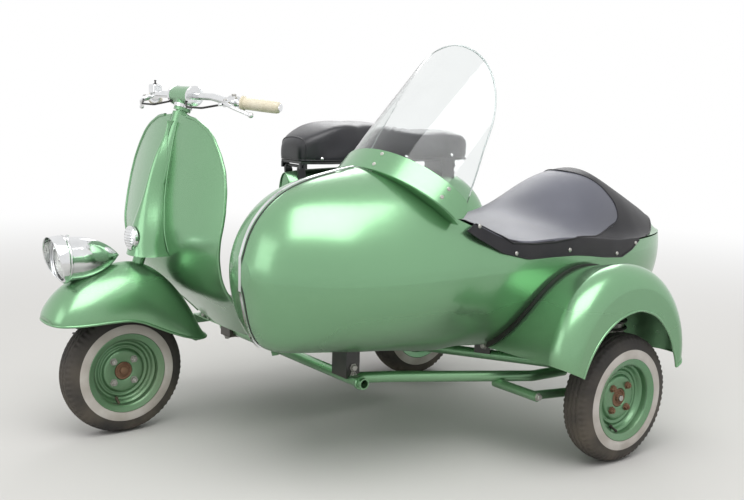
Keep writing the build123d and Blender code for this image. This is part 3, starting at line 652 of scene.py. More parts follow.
# Headlamp: a chromed teardrop shell on the fender crest. A turned bezel holds the bulged
# fluted glass over a silvered dish with its bulb.
LAMP_AT = at(1336, 0, 546)
FLUTE_PITCH = 6.5
dress(["headlamp_shell"], chrome)
bezel_rows = [(-9, 67.2), (-8, 69.5), (-4, 70.5), (0, 70), (4, 67.5), (6.5, 64), (7, 61.5), (5.5, 60),
              (2, 60), (-4, 60)]
turned_set("headlamp_bezel", [(LAMP_AT, (1, 0, 0), bezel_rows, 96)], "steering", chrome)
dish_rows = [(0, 59.5), (-3, 52), (-7, 40), (-10, 26), (-12, 14), (-12.5, 9)]
silver = metal("silvered_dish", (0.88, 0.88, 0.86, 1), 0.08, 0.06, 0.9)
turned_set("headlamp_dish", [(LAMP_AT, (1, 0, 0), dish_rows, 64)], "steering", silver)
bulb_rows = [(-12, 9), (-6, 9), (-5, 7), (-3, 8), (2, 8), (6, 6), (8, 3), (8.6, 0)]
turned_set("headlamp_bulb", [(LAMP_AT, (1, 0, 0), bulb_rows, 24)], "steering", silver)


def clear_material(name, colour, rough, ior, haze_scale=60.0):
    """Clear solid with faint wiping haze in its gloss."""
    made, tree, shader = new_material(name)
    shader.inputs["Transmission Weight"].default_value = 1.0
    shader.inputs["IOR"].default_value = ior
    place = add_node(tree, "TexCoord")
    haze = add_node(tree, "TexNoise", Scale=haze_scale, Detail=4.0)
    gloss = add_node(tree, "MapRange", From_Min=0.4, From_Max=0.75, To_Min=rough, To_Max=rough + 0.06)
    tint = colour_stops(add_node(tree, "ValToRGB"), [(0.3, colour), (0.8, tuple(c * 0.96 for c in colour))])
    wire(tree, (place, "Object"), (haze, "Vector"))
    wire(tree, (haze, "Fac"), (gloss, "Value"))
    wire(tree, (haze, "Fac"), (tint, "Fac"))
    wire(tree, (gloss, "Result"), (shader, "Roughness"))
    wire(tree, (tint, "Color"), (shader, "Base Color"))
    return made


lamp_glass = clear_material("lamp_glass", (0.97, 0.99, 0.98), 0.02, 1.5)
lens_verts = []
LENS_RINGS = 30
for side in (0, 1):
    for ring in range(LENS_RINGS + 1):
        radius = 60.0 * ring / LENS_RINGS
        for turn in angles(HORN_TURNS):
            y, z = radius * math.cos(turn), radius * math.sin(turn)
            bulge = 14 * (1 - (radius / 60) ** 2) - 2.5 * side
            if side and radius < 56:
                bulge += 0.9 * math.cos(2 * math.pi * y / FLUTE_PITCH)
            lens_verts.append(LAMP_AT + Vector((bulge, y, z)) * MM)
layer = (LENS_RINGS + 1) * HORN_TURNS
lens_faces = (grid_faces(LENS_RINGS + 1, HORN_TURNS, True, 0, True)
              + grid_faces(LENS_RINGS + 1, HORN_TURNS, True, layer))
for k in range(HORN_TURNS):
    a, b = LENS_RINGS * HORN_TURNS + k, LENS_RINGS * HORN_TURNS + (k + 1) % HORN_TURNS
    lens_faces.append((a, a + layer, b + layer, b))
lamp_lens = piece("headlamp_fluted_glass", lens_verts, lens_faces, "steering", [lamp_glass])
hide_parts("headlamp_lens")
weld(lamp_lens.data, outward=True)
# The hood over the glass: angle round the lamp and how far it stands out
hood_rows = [(-62, 1), (-50, 9), (-30, 19), (-8, 28), (20, 35), (50, 39), (90, 41), (130, 39), (160, 35),
             (188, 28), (210, 19), (230, 9), (242, 1)]
hood_verts = []
HOOD_STEPS = 8
HOOD_TURNS = 90
hood_angle, hood_out = (np.array(column) for column in zip(*hood_rows))
for k in range(HOOD_TURNS + 1):
    degrees = hood_angle[0] + (hood_angle[-1] - hood_angle[0]) * k / HOOD_TURNS
    long = float(np.interp(degrees, hood_angle, hood_out))
    turn = math.radians(degrees)
    for j in range(HOOD_STEPS + 1):
        ahead = long * j / HOOD_STEPS
        radius = 70.4 - 3.5 * (ahead / 41) ** 2
        hood_verts.append(LAMP_AT + Vector((ahead, radius * math.cos(turn), radius * math.sin(turn))) * MM)
hood_faces = grid_faces(HOOD_TURNS + 1, HOOD_STEPS + 1)
hood = piece("headlamp_hood", hood_verts, hood_faces, "steering", [chrome])
hood_sheet = hood.modifiers.new("sheet", "SOLIDIFY")
hood_sheet.thickness = 0.0012
turned_set("headlamp_screw", [(at(1320, 0, 613.5), (0.3, 0, 1), [(0, 0), (0, 5), (2.5, 5), (4, 3), (4.2, 0)],
                               20)],
           "steering", chrome)

# Fork: the steering column bends beside the wheel to a link that carries the axle, with a
# small damper outside it and a road spring wound behind the leg.
dress(["steering_column", "fork_link"], jade)
dress(["head_tube"], jade)
dress(["fork_damper"], zinc)


def coil_line(low, high, radius, turns, points_a_turn=16):
    """Points of a helix between two places, in metres."""
    run = high - low
    side = run.normalized().orthogonal().normalized()
    front = run.normalized().cross(side)
    line = []
    count = int(turns * points_a_turn)
    for k in range(count + 1):
        turn = 2 * math.pi * turns * k / count
        line.append(low + run * (k / count) + (side * math.cos(turn) + front * math.sin(turn)) * radius * MM)
    return line


black_enamel = enamel("black_enamel", (0.010, 0.010, 0.011, 1), 0.38, 0.7, 0.0, 0.0)
fork_coil = coil_line(at(1262, -112, 236), at(1233, -112, 346), 18, 6)
round_line("fork_spring", [fork_coil], 3.4, "steering", black_enamel)

# Handlebar: a chromed tube through a sprayed cross barrel on the neck. Chromed collars close
# the barrel and a pinch bolt clamps the neck to the column.
dress(["handlebar_head"], jade)
dress(["handlebar"], chrome)
collar_rows = [(-7, 28.3), (-6, 30), (0, 30.4), (1.6, 29), (2.4, 24), (3, 16), (3, 11.2)]
turned_set("barrel_collars", [(at(942, 62, 1021), (0, 1, 0), collar_rows, 48),
                              (at(942, -62, 1021), (0, -1, 0), collar_rows, 48)], "steering",
                              chrome)
neck_ring = [(-6, 26.2), (-5, 29), (5, 29), (6, 26.2)]
turned_set("neck_collar", [(at(949.3, 0, 988), (-0.309, 0, 0.951), neck_ring, 48)], "steering",
           chrome)
bolt_rows = [(0, 0), (0, 6.5), (5, 6.5), (6, 5.5), (6, 0)]
turned_set("neck_pinch_bolt", [(at(940, 30, 1006), (0, 1, 0), bolt_rows, 6)], "steering", zinc)

# Grips: smooth ivory plastic sleeves with a flange next to the lever and a rounded end.
ivory = finish_material("ivory_plastic", (0.66, 0.62, 0.50, 1), (0.56, 0.50, 0.36, 1), 0.34, 14.0, 400.0,
                        0.00006, 0.2)
grip_rows = [(-3, 11.4), (-3, 19.5), (-1.5, 21.5), (2.5, 21.5), (4.5, 19.5), (6, 17.2), (20, 17.0),
             (60, 17.6), (96, 17.6), (108, 17.2), (114, 15.6), (117.5, 12), (119, 6), (119.2, 0)]
for name, hand in (("left", 1), ("right", -1)):
    root, tip = at(908, 290 * hand, 1007), at(845, 395 * hand, 998)
    sleeve = turned_set("grip_sleeve_" + name, [(root, tip - root, grip_rows, 48)], "steering",
                        ivory)
    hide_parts("grip_" + name)

# Control levers: slim chromed blades on clamped perches, each with a pivot screw, a clamp
# bolt and a black sheathed cable that runs in under the neck.
dress(["lever_left", "lever_right", "switch_box"], chrome)
rubber = finish_material("black_rubber", (0.012, 0.012, 0.012, 1), (0.03, 0.028, 0.026, 1), 0.55, 12.0,
                         260.0, 0.0004)
dress(["cable_left", "cable_right"], rubber)
screw_rows = [(0, 0), (0, 6), (1.6, 6), (3, 4.4), (3.2, 0)]
lever_bits = []
for hand in (1, -1):
    lever_bits.append((at(952, 266 * hand, 1014.5), (0.1, 0, 1), screw_rows, 24))
    lever_bits.append((at(921, 261 * hand, 1027), (0.1, 0, 1), bolt_rows, 6))
turned_set("lever_screws", lever_bits, "steering", zinc)
ferrule_rows = [(0, 3.2), (0, 5), (12, 5), (14, 3.6), (14, 3.2)]
turned_set("cable_ferrules", [(at(958, 261 * hand, 1003), (0.5, -0.85 * hand, -0.1), ferrule_rows, 16)
                              for hand in (1, -1)], "steering", chrome)
toggle_rows = [(0, 0), (0, 7), (2, 7), (3, 3), (9, 2.4), (11, 4), (13, 3.4), (13.6, 0)]
turned_set("switch_toggle", [(at(941, -212, 1051.5), (0, 0, 1), toggle_rows, 20)], "steering",
           rubber)

# Floor: a pressed pan sprayed green, with ribbed rubber runners held under bright end caps.
RUNNER_STEPS = 40
RUNNER_LONG = (420, 770)
dress(["floorboard"], jade)
runner_rows = [y * hand for y in (118, 160, 202) for hand in (1, -1)]
runner_verts, runner_faces, cap_parts = [], [], []
section = [(-9, 0), (-8, 4), (-5, 6), (-2.5, 4.6), (0, 6), (2.5, 4.6), (5, 6), (8, 4), (9, 0)]
for y in runner_rows:
    first = len(runner_verts)
    for step in range(RUNNER_STEPS + 1):
        x = RUNNER_LONG[0] + (RUNNER_LONG[1] - RUNNER_LONG[0]) * step / RUNNER_STEPS
        for across, up in section:
            runner_verts.append(at(x, y + across, 270.5 + up))
    runner_faces += grid_faces(RUNNER_STEPS + 1, len(section), first=first)
    for end in RUNNER_LONG:
        cap_parts.append((at(end, y, 270.8), (0, 0, 1), [(0, 11), (5, 11), (8, 8), (8.6, 0)], 20))
piece("floor_runners", runner_verts, runner_faces, "chassis", [rubber])
turned_set("floor_runner_caps", cap_parts, "chassis", zinc)

# Rear body and cowls: the pressed shell under the seat and a bulged cowl on each side, both
# sprayed green. A bead runs round each cowl, and the engine side has cooling louvres.
COWL_RIM = (20, 468, 249, 175)
dress(["rear_body", "cowl_left", "cowl_right"], jade)
cowl_lines = []
for hand in (1, -1):
    skin = surface_of("cowl_left" if hand > 0 else "cowl_right")
    rays = []
    for k in range(73):
        turn = math.pi * (-0.02 + 1.04 * k / 72)
        x, z = COWL_RIM[0] + COWL_RIM[2] * math.cos(turn), COWL_RIM[1] + COWL_RIM[3] * math.sin(turn)
        rays.append((at(x, hand * 500, z), Vector((0, -hand, 0))))
    cowl_lines.append(hits(skin, rays))
round_line("cowl_beads", cowl_lines, 3.0, "chassis", jade)
LOUVRE_STEPS = 12
LOUVRE_LONG = 80
louvre_section = ((-9, -0.5), (-5, 3.5), (0, 6.5), (5, 7.5), (7, 6.5), (7.4, 0.5))
louvre_verts, louvre_faces = [], []
skin = surface_of("cowl_right")
for slot in range(6):
    middle = -70 + 30 * slot
    first = len(louvre_verts)
    for j in range(LOUVRE_STEPS + 1):
        z = 450 + LOUVRE_LONG * (j / LOUVRE_STEPS - 0.5)
        swell = math.sin(math.pi * j / LOUVRE_STEPS)
        for across, out in louvre_section:
            place = skin.ray_cast(at(middle + across, -500, z), Vector((0, 1, 0)))[0]
            louvre_verts.append(place + Vector((0, -out * swell * MM, 0)))
    louvre_faces += grid_faces(LOUVRE_STEPS + 1, len(louvre_section), first=first)
piece("cowl_louvres", louvre_verts, louvre_faces, "chassis", [jade])

# Engine side: a cast unit, its pressed exhaust box, the kick pedal with a rubber foot, the
# brake pedal with a rubber pad and the damper with its road spring.
dress(["engine_block"], cast_grey)
dress(["rear_axle", "rear_damper", "kick_lever", "brake_pedal"], zinc)
dress(["exhaust"], finish_material("sooty_steel", (0.030, 0.024, 0.020, 1), (0.085, 0.060, 0.045, 1), 0.62,
                                   26.0, 620.0,
                                    0.0003, 0.4, 0.5, 0.15, 0.5))
cover_bolts = [(at(-60 + 16 * k, -233, 262), (0, -1, 0), [(0, 5), (5, 5), (6, 4), (6, 0)],
                6) for k in range(9)]
turned_set("engine_cover_bolts", cover_bolts, "chassis", zinc)
kick_axis = at(263, -336, 360.6) - at(250, -300, 352)
turned_set("kick_lever_rubber", [(at(250.6, -302, 352.5), kick_axis,
                                  [(0, 8.2), (0, 12), (2, 13), (26, 13), (29, 11), (30, 0)], 24)],
           "chassis", rubber)
round_line("rear_spring", [coil_line(at(-84, -84, 368), at(-84, -84, 520), 25, 7)], 4.2, "chassis",
           black_enamel)
pad_verts = []
PAD_GRID = 14
PAD_TILT = 0.611
for i in range(PAD_GRID + 1):
    for j in range(PAD_GRID + 1):
        u, v = i / PAD_GRID - 0.5, j / PAD_GRID - 0.5
        rise = 4.6 + (1.6 if i % 2 else 0) if abs(u) < 0.46 and abs(v) < 0.46 else 3.4
        local = Vector((58 * u * math.cos(PAD_TILT) - rise * math.sin(PAD_TILT), 44 * v,
                        58 * u * math.sin(PAD_TILT) + rise * math.cos(PAD_TILT)))
        pad_verts.append(at(694, -150, 332) + local * MM)
pad_faces = grid_faces(PAD_GRID + 1, PAD_GRID + 1)
piece("brake_pedal_pad", pad_verts, pad_faces, "chassis", [rubber], smooth=False)

# Tail lamp: a red ribbed lens in a chromed rim on the end of the rear body.
red_lens = clear_material("red_lens", (0.55, 0.012, 0.008), 0.06, 1.5)
dress(["tail_lamp"], red_lens)
tail_rim = [(-3, 32.3), (-3, 36), (0, 37), (12, 36), (16, 33.6), (16, 32.4)]
lens_rows = [(34, 32.4), (36, 31)] + [(36 + 0.35 * math.cos(0.9 * r) + 4 * (1 - (r / 31) ** 2), r)
                                      for r in range(30, -1, -1)]
turned_set("tail_lamp_rim", [(at(-287, 0, 560), (-1, 0, 0), tail_rim, 64)], "chassis", chrome)
turned_set("tail_lamp_lens", [(at(-287, 0, 560), (-1, 0, 0), lens_rows, 64)], "chassis", red_lens)

# Dual seat: foam on a steel pan under black grained vinyl, with a welt round the base and
# round the front panel. Bright studs hold the cover. It swings up on a hinge at the front.
SEAT_INSET = 3.0
SEAT_VOXEL = 0.006
SEAT_SWELL = 0.004
SEAT_HELD = 823
SEAT_FRAMES = 20
SEAT_EVEN = 6
SEAT_TAUT = 12
SEAT_PRESSURE = 1.6
SEAT_STIFF = 60.0
SEAT_BEND = 12.0
SEAM_DIP = 0.004
CORNER_GAP = 0.00002
vinyl = finish_material("black_vinyl", (0.009, 0.009, 0.012, 1), (0.017, 0.017, 0.022, 1), 0.32, 9.0, 520.0,
                        0.0005,
                        0.12, 0.9, 0.14)


def tune(made, **values):
    """Sets sockets of a material's surface shader by name."""
    for key, value in values.items():
        made.node_tree.nodes["Principled BSDF"].inputs[key.replace("_", " ")].default_value = value


tune(vinyl, Sheen_Weight=0.03, Coat_Weight=0.2, Coat_Roughness=0.3)
dress(["seat_pan", "seat_bracket", "seat_rest"], black_enamel)

cushion_mesh = node["dual_seat"].data.copy()
cushion_mesh.name = "seat_cushion"
weld(cushion_mesh, CORNER_GAP)
low, high = (Vector(corner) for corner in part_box("dual_seat"))
for vert in cushion_mesh.vertices:
    for axis in (0, 1):
        middle, half = (low[axis] + high[axis]) / 2, (high[axis] - low[axis]) / 2
        vert.co[axis] = middle + (vert.co[axis] - middle) * (1 - SEAT_INSET * MM / half)
    vert.co.z = low.z + (vert.co.z - low.z) * (1 - SEAT_INSET * MM / (high.z - low.z))
    # The vinyl is drawn in a little along the cross seam in front of the driver's place.
    spot = (vert.co.x - SHIFT.x) / MM
    if vert.co.z > low.z + 0.04:
        vert.co.z -= SEAM_DIP * math.exp(-((spot - 345) / 16) ** 2)
cushion = bpy.data.objects.new("seat_cushion", cushion_mesh)
scene.collection.objects.link(cushion)
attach(cushion, "seat")
cushion_mesh.materials.clear()
cushion_mesh.materials.append(vinyl)


def bake_modifiers(item):
    """Applies the modifiers of an object to its mesh."""
    result = bpy.data.meshes.new_from_object(item.evaluated_get(bpy.context.evaluated_depsgraph_get()))
    item.modifiers.clear()
    item.data = result


voxels = cushion.modifiers.new("voxels", "REMESH")
voxels.mode = "VOXEL"
voxels.voxel_size = SEAT_VOXEL
voxels.use_smooth_shade = True
bake_modifiers(cushion)
even = cushion.modifiers.new("even", "SMOOTH")
even.iterations = SEAT_EVEN
bake_modifiers(cushion)
rest_shape = [v.co.copy() for v in cushion.data.vertices]
held = cushion.vertex_groups.new(name="held")
held.add([v.index for v in cushion.data.vertices if v.co.z < at(0, 0, SEAT_HELD).z], 1.0, "REPLACE")
foam = cushion.modifiers.new("foam", "CLOTH")
foam.settings.vertex_group_mass = "held"
foam.settings.use_pressure = True
foam.settings.uniform_pressure_force = SEAT_PRESSURE
foam.settings.tension_stiffness = foam.settings.compression_stiffness = SEAT_STIFF
foam.settings.bending_stiffness = SEAT_BEND
foam.settings.effector_weights.gravity = 0.0
foam.point_cache.frame_end = SEAT_FRAMES
for tick in range(1, SEAT_FRAMES + 1):
    scene.frame_set(tick)
bake_modifiers(cushion)
for vert, start in zip(cushion.data.vertices, rest_shape):
    move = vert.co - start
    if move.length > SEAT_SWELL:
        vert.co = start + move * (SEAT_SWELL / move.length)
scene.frame_set(1)
cushion.vertex_groups.clear()
taut = cushion.modifiers.new("taut", "SMOOTH")
taut.iterations = SEAT_TAUT
bake_modifiers(cushion)
for vert in cushion.data.vertices:
    vert.co.z = max(vert.co.z, low.z + 0.0004)
cushion.data.polygons.foreach_set("use_smooth", [True] * len(cushion.data.polygons))
finer = cushion.modifiers.new("finer", "SUBSURF")
finer.levels = finer.render_levels = 1
bake_modifiers(cushion)
cushion.data.materials.clear()
cushion.data.materials.append(vinyl)
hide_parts("dual_seat")

seat_skin = skin_of(cushion)
seat_middle = at(200, 0, 850)
welt_rays = []
for turn in angles(96):
    aim = Vector((seat_middle.x + 0.36 * math.copysign(abs(math.cos(turn)) ** 0.5, math.cos(turn)),
                  seat_middle.y + 0.1 * math.copysign(abs(math.sin(turn)) ** 0.5, math.sin(turn)),
                  at(0, 0, 819).z))
    start = Vector((seat_middle.x + (aim.x - seat_middle.x) * 3, seat_middle.y + (aim.y - seat_middle.y) * 3,
                    aim.z))
    welt_rays.append((start, (aim - start).normalized()))
round_line("seat_base_welt", [hits(seat_skin, welt_rays)], 2.6, "seat", vinyl, closed=True)
front_welt = []
for turn in angles(40, False):
    out = Vector((0, math.cos(turn), math.sin(turn)))
    start = at(546, 0, 822) + out * 0.2
    place = seat_skin.ray_cast(start, -out)[0]
    if place:
        front_welt.append(place + out * 0.0004)
round_line("seat_front_welt", [front_welt], 2.2, "seat", vinyl)
stud_rows = [(-1, 0), (-1, 6), (1.2, 6), (3, 4.6), (4, 2.4), (4.3, 0)]
studs = []
for x in (496, 358, 150, -60):
    for hand in (1, -1):
        place = seat_skin.ray_cast(at(x, hand * 300, 825), Vector((0, -hand, 0)))[0]
        studs.append((place, (0, hand, 0), stud_rows, 20))
turned_set("seat_studs", studs, "seat", chrome)

# Sidecar tub: an egg of sheet steel sprayed green. A polished strip covers the joint down
# the nose, with a dark sealing line along each edge.
STRIP_HALF = 7.2
TUB_Y = 600
dress(["sidecar_tub"], jade)
dress(["nose_strip"], chrome)
tub_skin = surface_of("sidecar_tub")
strip_lines = []
for hand in (1, -1):
    y = TUB_Y + hand * STRIP_HALF
    rays = [(at(1500, y, z), Vector((-1, 0, 0))) for z in np.linspace(392, 560, 24).tolist()]
    for turn in np.linspace(-4, 86, 44).tolist():
        out = Vector((math.cos(math.radians(turn)), 0, math.sin(math.radians(turn))))
        rays.append((at(790, y, 600) + out * 0.8, -out))
    strip_lines.append(hits(tub_skin, rays))
round_line("nose_strip_seals", strip_lines, 1.6, "chassis", rubber)

NOSE_RINGS = 6
NOSE_TURNS = 48
nose_verts = []
for ring in range(NOSE_RINGS + 1):
    share = ring / NOSE_RINGS
    for turn in angles(NOSE_TURNS):
        up = 43 if math.sin(turn) > 0 else 37
        nose_verts.append(at(1091.1 + 3.0 * (1 - share ** 2), TUB_Y + 45.6 * share * math.cos(turn),
                             578.5 + up * share * math.sin(turn)))
nose_faces = grid_faces(NOSE_RINGS + 1, NOSE_TURNS, True)
nose_cap = piece("tub_nose_cap", nose_verts, nose_faces, "chassis", [jade])
weld(nose_cap.data, CORNER_GAP)

# Windscreen: a bent sheet of clear acrylic in a green steel band, held by screws. Its polished cut edge is
# drawn as a pale opaque bead, a painted highlight for the light it catches.
SCREEN_Y = 620
SCREEN_R = 248.0
SCREEN_BASE = (550, 775)
SCREEN_RAKE = 0.956
acrylic = clear_material("clear_acrylic", (0.90, 0.925, 0.92), 0.02, 1.35, 9.0)
# Pale opaque colour of the edge bead: a painted highlight standing in for the light caught in the polished
# edge.
painted_edge_highlight = finish_material("acrylic_painted_edge_highlight", (0.62, 0.68, 0.67, 1), (0.50, 0.56, 0.55, 1), 0.16, 20.0,
                           300.0, 0.00002,
                           0.1, 0.9, 0.1)
# Free edge of the screen in the side view: x and height, from the band to the top
edge_side = [(550, 800), (525, 852), (500, 906), (484, 934), (468, 961), (456, 985), (444, 1012),
             (433, 1042), (424, 1072), (416, 1105), (410, 1135), (406, 1165), (404.4, 1183), (404.2, 1188)]
screen_edge = []
for hand in (1, -1):
    half_edge = []
    for x, z in edge_side:
        ahead = x - (SCREEN_BASE[0] - SCREEN_RAKE * (z - SCREEN_BASE[1]))
        half_edge.append(at(x, SCREEN_Y + hand * math.sqrt(max(0, SCREEN_R ** 2 - ahead ** 2)), z))
    screen_edge += half_edge if hand > 0 else half_edge[::-1]
round_line("windscreen_edge", [screen_edge], 2.3, "chassis", painted_edge_highlight)
dress(["windscreen"], acrylic)
dress(["screen_band"], jade)
band_screws = []
for x, y, z, hands in ((694.8, 666.2, 885.9, (1,)), (720.3, 665.1, 859.4, (1,)),
                       (617.3, 855.6, 806.6, (1, -1)),
                       (639.5, 854.4, 786.5, (1, -1))):
    for hand in hands:
        spot = at(x, SCREEN_Y + hand * (y - SCREEN_Y), z)
        axis = Vector((spot.x - at(560, 0, 0).x, spot.y - at(0, SCREEN_Y, 0).y, 0.06)).normalized()
        band_screws.append((spot, axis, [(-1, 0), (-1, 5.5), (0.8, 5.5), (2.4, 4), (2.4, 1), (1.4, 0.8),
                                         (1.4, 0)], 20))
turned_set("screen_band_screws", band_screws, "chassis", zinc)

# Side fender: deep pressed mudguard sprayed green, with a fat black rubber bead in its joint
# to the tub and a rolled edge round the wheel opening.
dress(["side_fender"], jade)
dress(["fender_bead"], rubber)
# Angle round the wheel, radius of the crest (it only spaces the points) and of the open edge
arch_rows = [(25, 330, 258), (38, 362, 264), (54, 388, 272), (70, 402, 276), (88, 398, 274),
             (104, 380, 258), (122, 344, 232), (140, 302, 208), (156, 264, 196)]
arch_line = []
for angle, crest, edge in resample(arch_rows, 60):
    turn = math.radians(angle)
    arch_line.append(at(70 + edge * math.cos(turn), 1082, 190 + edge * math.sin(turn)))
turn = math.radians(arch_rows[-1][0])
for y, radius in ((1082, 215), (1079, 225), (1062, 247), (1040, 258), (1012, 263), (960, 262)):
    arch_line.append(at(70 + radius * math.cos(turn), y, 190 + radius * math.sin(turn)))
round_line("side_fender_rolled_edge", [arch_line], 3.6, "chassis", jade)

# Sidecar frame: round steel tubes sprayed green, clamped below the scooter and bolted to
# saddles below the tub. The front tube ends open.
dress(["front_cross_tube", "side_rail", "rear_cross_tube", "side_arm"], jade)
dress(["clamp_front", "clamp_rear", "saddle_front", "saddle_rear"], black_enamel)
frame_bolts = []
for x, y, z, axis in ((720, -60, 231, (0, 0, -1)), (760, -60, 231, (0, 0, -1)), (740, 620.5, 262, (0, 1, 0)),
                      (740, 620.5, 285, (0, 1, 0)), (560, 64, 231, (0, 0, -1)), (253, 640, 285, (1, 0.3, 0)),
                      (330, 943, 215, (0, 1, 0)), (70, 1021, 190, (0, 1, 0))):
    frame_bolts.append((at(x, y, z), axis, [(0, 0), (0, 12), (2, 12), (2.2, 9), (9, 9), (10, 8), (10, 0)], 6))
turned_set("frame_bolts", frame_bolts, "chassis", zinc)
collar = [(-7, 16.2), (-7, 19), (-5, 20), (5, 20), (7, 19), (7, 16.2)]
turned_set("tube_end_collar", [(at(740, 655, 250), (0, 1, 0), collar, 40)], "chassis", jade)

# Side wheel spring leg: a small damper inside a coil spring, pinned to the arm and the tub.
dress(["side_damper"], zinc)
round_line("side_spring", [coil_line(at(-59, 889.7, 216), at(-65.4, 889.7, 398), 27, 8)], 4.4, "chassis",
           black_enamel)
cup_rows = [(0, 22.3), (0, 33), (2, 34), (8, 33), (9, 22.3)]
leg_axis = Vector((-8, 0, 236))
turned_set("side_spring_cups", [(at(-58.4, 889.7, 206), leg_axis, cup_rows, 40),
                                (at(-65.6, 889.7, 408), -leg_axis, cup_rows, 40)], "chassis",
                                black_enamel)

# Tail deck: the closed rear of the tub behind the cover, one steel skin sprayed green that
# meets the tub wall at its edge.
COVER_COLUMNS = 48
COVER_ROWS = 96
SKIRT_COLUMNS = 6
DECK_INSET = 6.0
DECK_ROWS = 26
COVER_FRONT = 568.0
# Cover edge along the tub: x, height of the hem and of the rim
edge_rows = [(-511, 609, 608), (-400, 609, 610), (-240, 610, 612), (-200, 609, 613), (-193, 606, 613),
             (-151, 584, 615), (-93, 567, 618), (-64, 570, 621), (0, 576, 626), (70, 587, 636),
             (140, 595, 642), (240, 599, 646), (340, 600, 646), (440, 625, 670), (520, 669, 708),
             (590, 717, 730)]
edge_x, edge_hem, edge_rim = (np.array(column) for column in zip(*edge_rows))
# Where the cloth turns over the rim, as a share of the half-width, and x of the hem's rear end
RIM_SHARE = 0.992
HEM_BACK = -200.0
cover_skin = surface_of("tonneau_cover")
tub_middle = at(0, TUB_Y, 0).y


def edge_height(line, x):
    """Height of the cover's hem or rim at a place along the tub."""
    return float(np.interp(x, edge_x, line))


def rim_reach(x):
    """Half-width of the stretched cover at its rim, from the side that the screen leaves whole."""
    x = min(x, COVER_FRONT)
    place = cover_skin.ray_cast(at(x, 100, edge_height(edge_rim, x) - 3), Vector((0, 1, 0)))[0]
    return (tub_middle - place.y) / MM if place else 60.0


def top_hit(x, share):
    """Point of the cover straight below a place at a share of its half-width, or None."""
    return cover_skin.ray_cast(at(x, TUB_Y + rim_reach(x) * share * RIM_SHARE, 1300), Vector((0, 0, -1)))[0]


def top_point(x, share):
    """Point of the cover's top at a share of its half-width."""
    side = TUB_Y + rim_reach(x) * share * RIM_SHARE
    return top_hit(x, share) or cover_skin.find_nearest(at(x, side, edge_height(edge_rim, x)))[0]


def beside(skin, x, hand, z):
    """Point of a skin met from outside at one side of the tub, or None where that side is open."""
    place = skin.ray_cast(at(x, TUB_Y + 500 * hand, z), Vector((0, -hand, 0)))[0]
    return place if place and hand * (place.y - tub_middle) > 0.1 else None


def skirt_height(x, share):
    """Height on the cover's hanging edge, from the hem at share 0 to the rim at share 1."""
    hem, rim = edge_height(edge_hem, x), edge_height(edge_rim, x)
    return hem + 1 + (rim - 3 - hem) * share


def skirt_hit(x, hand, share):
    """Point of the cover's hanging edge met from outside, or None where that side is cut away."""
    return beside(cover_skin, x, hand, skirt_height(x, share))


def skirt_point(x, hand, share):
    """Point of the cover's hanging edge at a share of its height."""
    near = at(x, TUB_Y + hand * rim_reach(x), skirt_height(x, share))
    return skirt_hit(x, hand, share) or cover_skin.find_nearest(near)[0]


def rear_limit(share):
    """X where the cover ends on the tail, at a share of the half-width."""
    return HEM_BACK - 262 * (1 - share ** 4) ** 0.6


FRONT_START = 300.0
FRONT_STEP = 2.0


def front_limit(met):
    """Furthest x, going forward, where a line over the cover still meets it behind the screen."""
    x = FRONT_START
    while x < COVER_FRONT and met(x + FRONT_STEP):
        x += FRONT_STEP
    return x


# Rounded end of the tail: x where the skin starts, and where it has its full height
TAIL_START = -498
TAIL_FULL = -430
# Behind the dome the skin pulls in towards the tail: where that starts, its length and share
FALL_START = -150
FALL_LONG = 350
FALL_SHARE = 0.2


def settle(place, x):
    """Height of a point of the cover behind the dome, drawn down towards the rim."""
    if x < FALL_START:
        rim = at(0, 0, edge_height(edge_rim, x)).z
        fall = FALL_SHARE * math.sin(math.pi * min(1, (FALL_START - x) / FALL_LONG))
        place.z = rim + (place.z - rim) * (1 - fall)
    return place


deck_verts = []
shares = [math.sin(math.pi * (k / COVER_COLUMNS - 0.5)) for k in range(COVER_COLUMNS + 1)]
for share in shares:
    stop = rear_limit(share) + 34
    for r in range(DECK_ROWS):
        x = TAIL_START + (stop - TAIL_START) * (r / (DECK_ROWS - 1)) ** 1.3
        place = settle(top_point(x, share), x)
        place += (at(x, TUB_Y, 560) - place).normalized() * DECK_INSET * MM
        wall = tub_skin.ray_cast(at(x, 1100, 605), Vector((0, -1, 0)))[0]
        reach = (wall.y - tub_middle if wall else 0.03) * 0.995
        place.y = tub_middle + max(-reach, min(reach, place.y - tub_middle))
        full = min(1, max(0, (x - TAIL_START) / (TAIL_FULL - TAIL_START)))
        rim = at(0, 0, 606).z
        place.z = rim + max(0, place.z - rim) * full ** 0.5
        deck_verts.append(place)
piece("tub_tail_deck", deck_verts, grid_faces(len(shares), DECK_ROWS, flip=True), "chassis",
      [jade])

# Tonneau cover: one sheet of black leathercloth stretched over the seat back and the cockpit,
# with a piped seam round its top panel, a turned hem, and press studs along the edge.
SHEET_THICK = 1.6
# Columns of the cloth from the far hem over the top to the near hem: hand, 0 on the top, and share
skirt_shares = [k / SKIRT_COLUMNS for k in range(SKIRT_COLUMNS)]
cover_columns = ([(-1, share) for share in skirt_shares] + [(0, share) for share in shares]
                 + [(1, share) for share in reversed(skirt_shares)])
cover_verts = []
for hand, share in cover_columns:
    start = HEM_BACK if hand else rear_limit(share)
    stop = front_limit(lambda x: skirt_hit(x, hand, share) if hand else top_hit(x, share))
    for r in range(COVER_ROWS):
        x = start + (stop - start) * r / (COVER_ROWS - 1)
        cover_verts.append(skirt_point(x, hand, share) if hand else settle(top_point(x, share), x))
# Seam of the top panel on one side, from the screen round the dome: x and distance off the middle
seam_half = [(600, 290), (590, 283), (399, 284), (314, 286), (231, 285), (143, 281), (36, 260), (-53, 226),
             (-96, 213), (-138, 202), (-158, 193), (-163, 180), (-158, 168), (-147, 156), (-138, 136),
             (-120, 101), (-100, 64), (-86, 30), (-82, 0)]
seam_plan = seam_half + [(x, -y) for x, y in reversed(seam_half[:-1])]


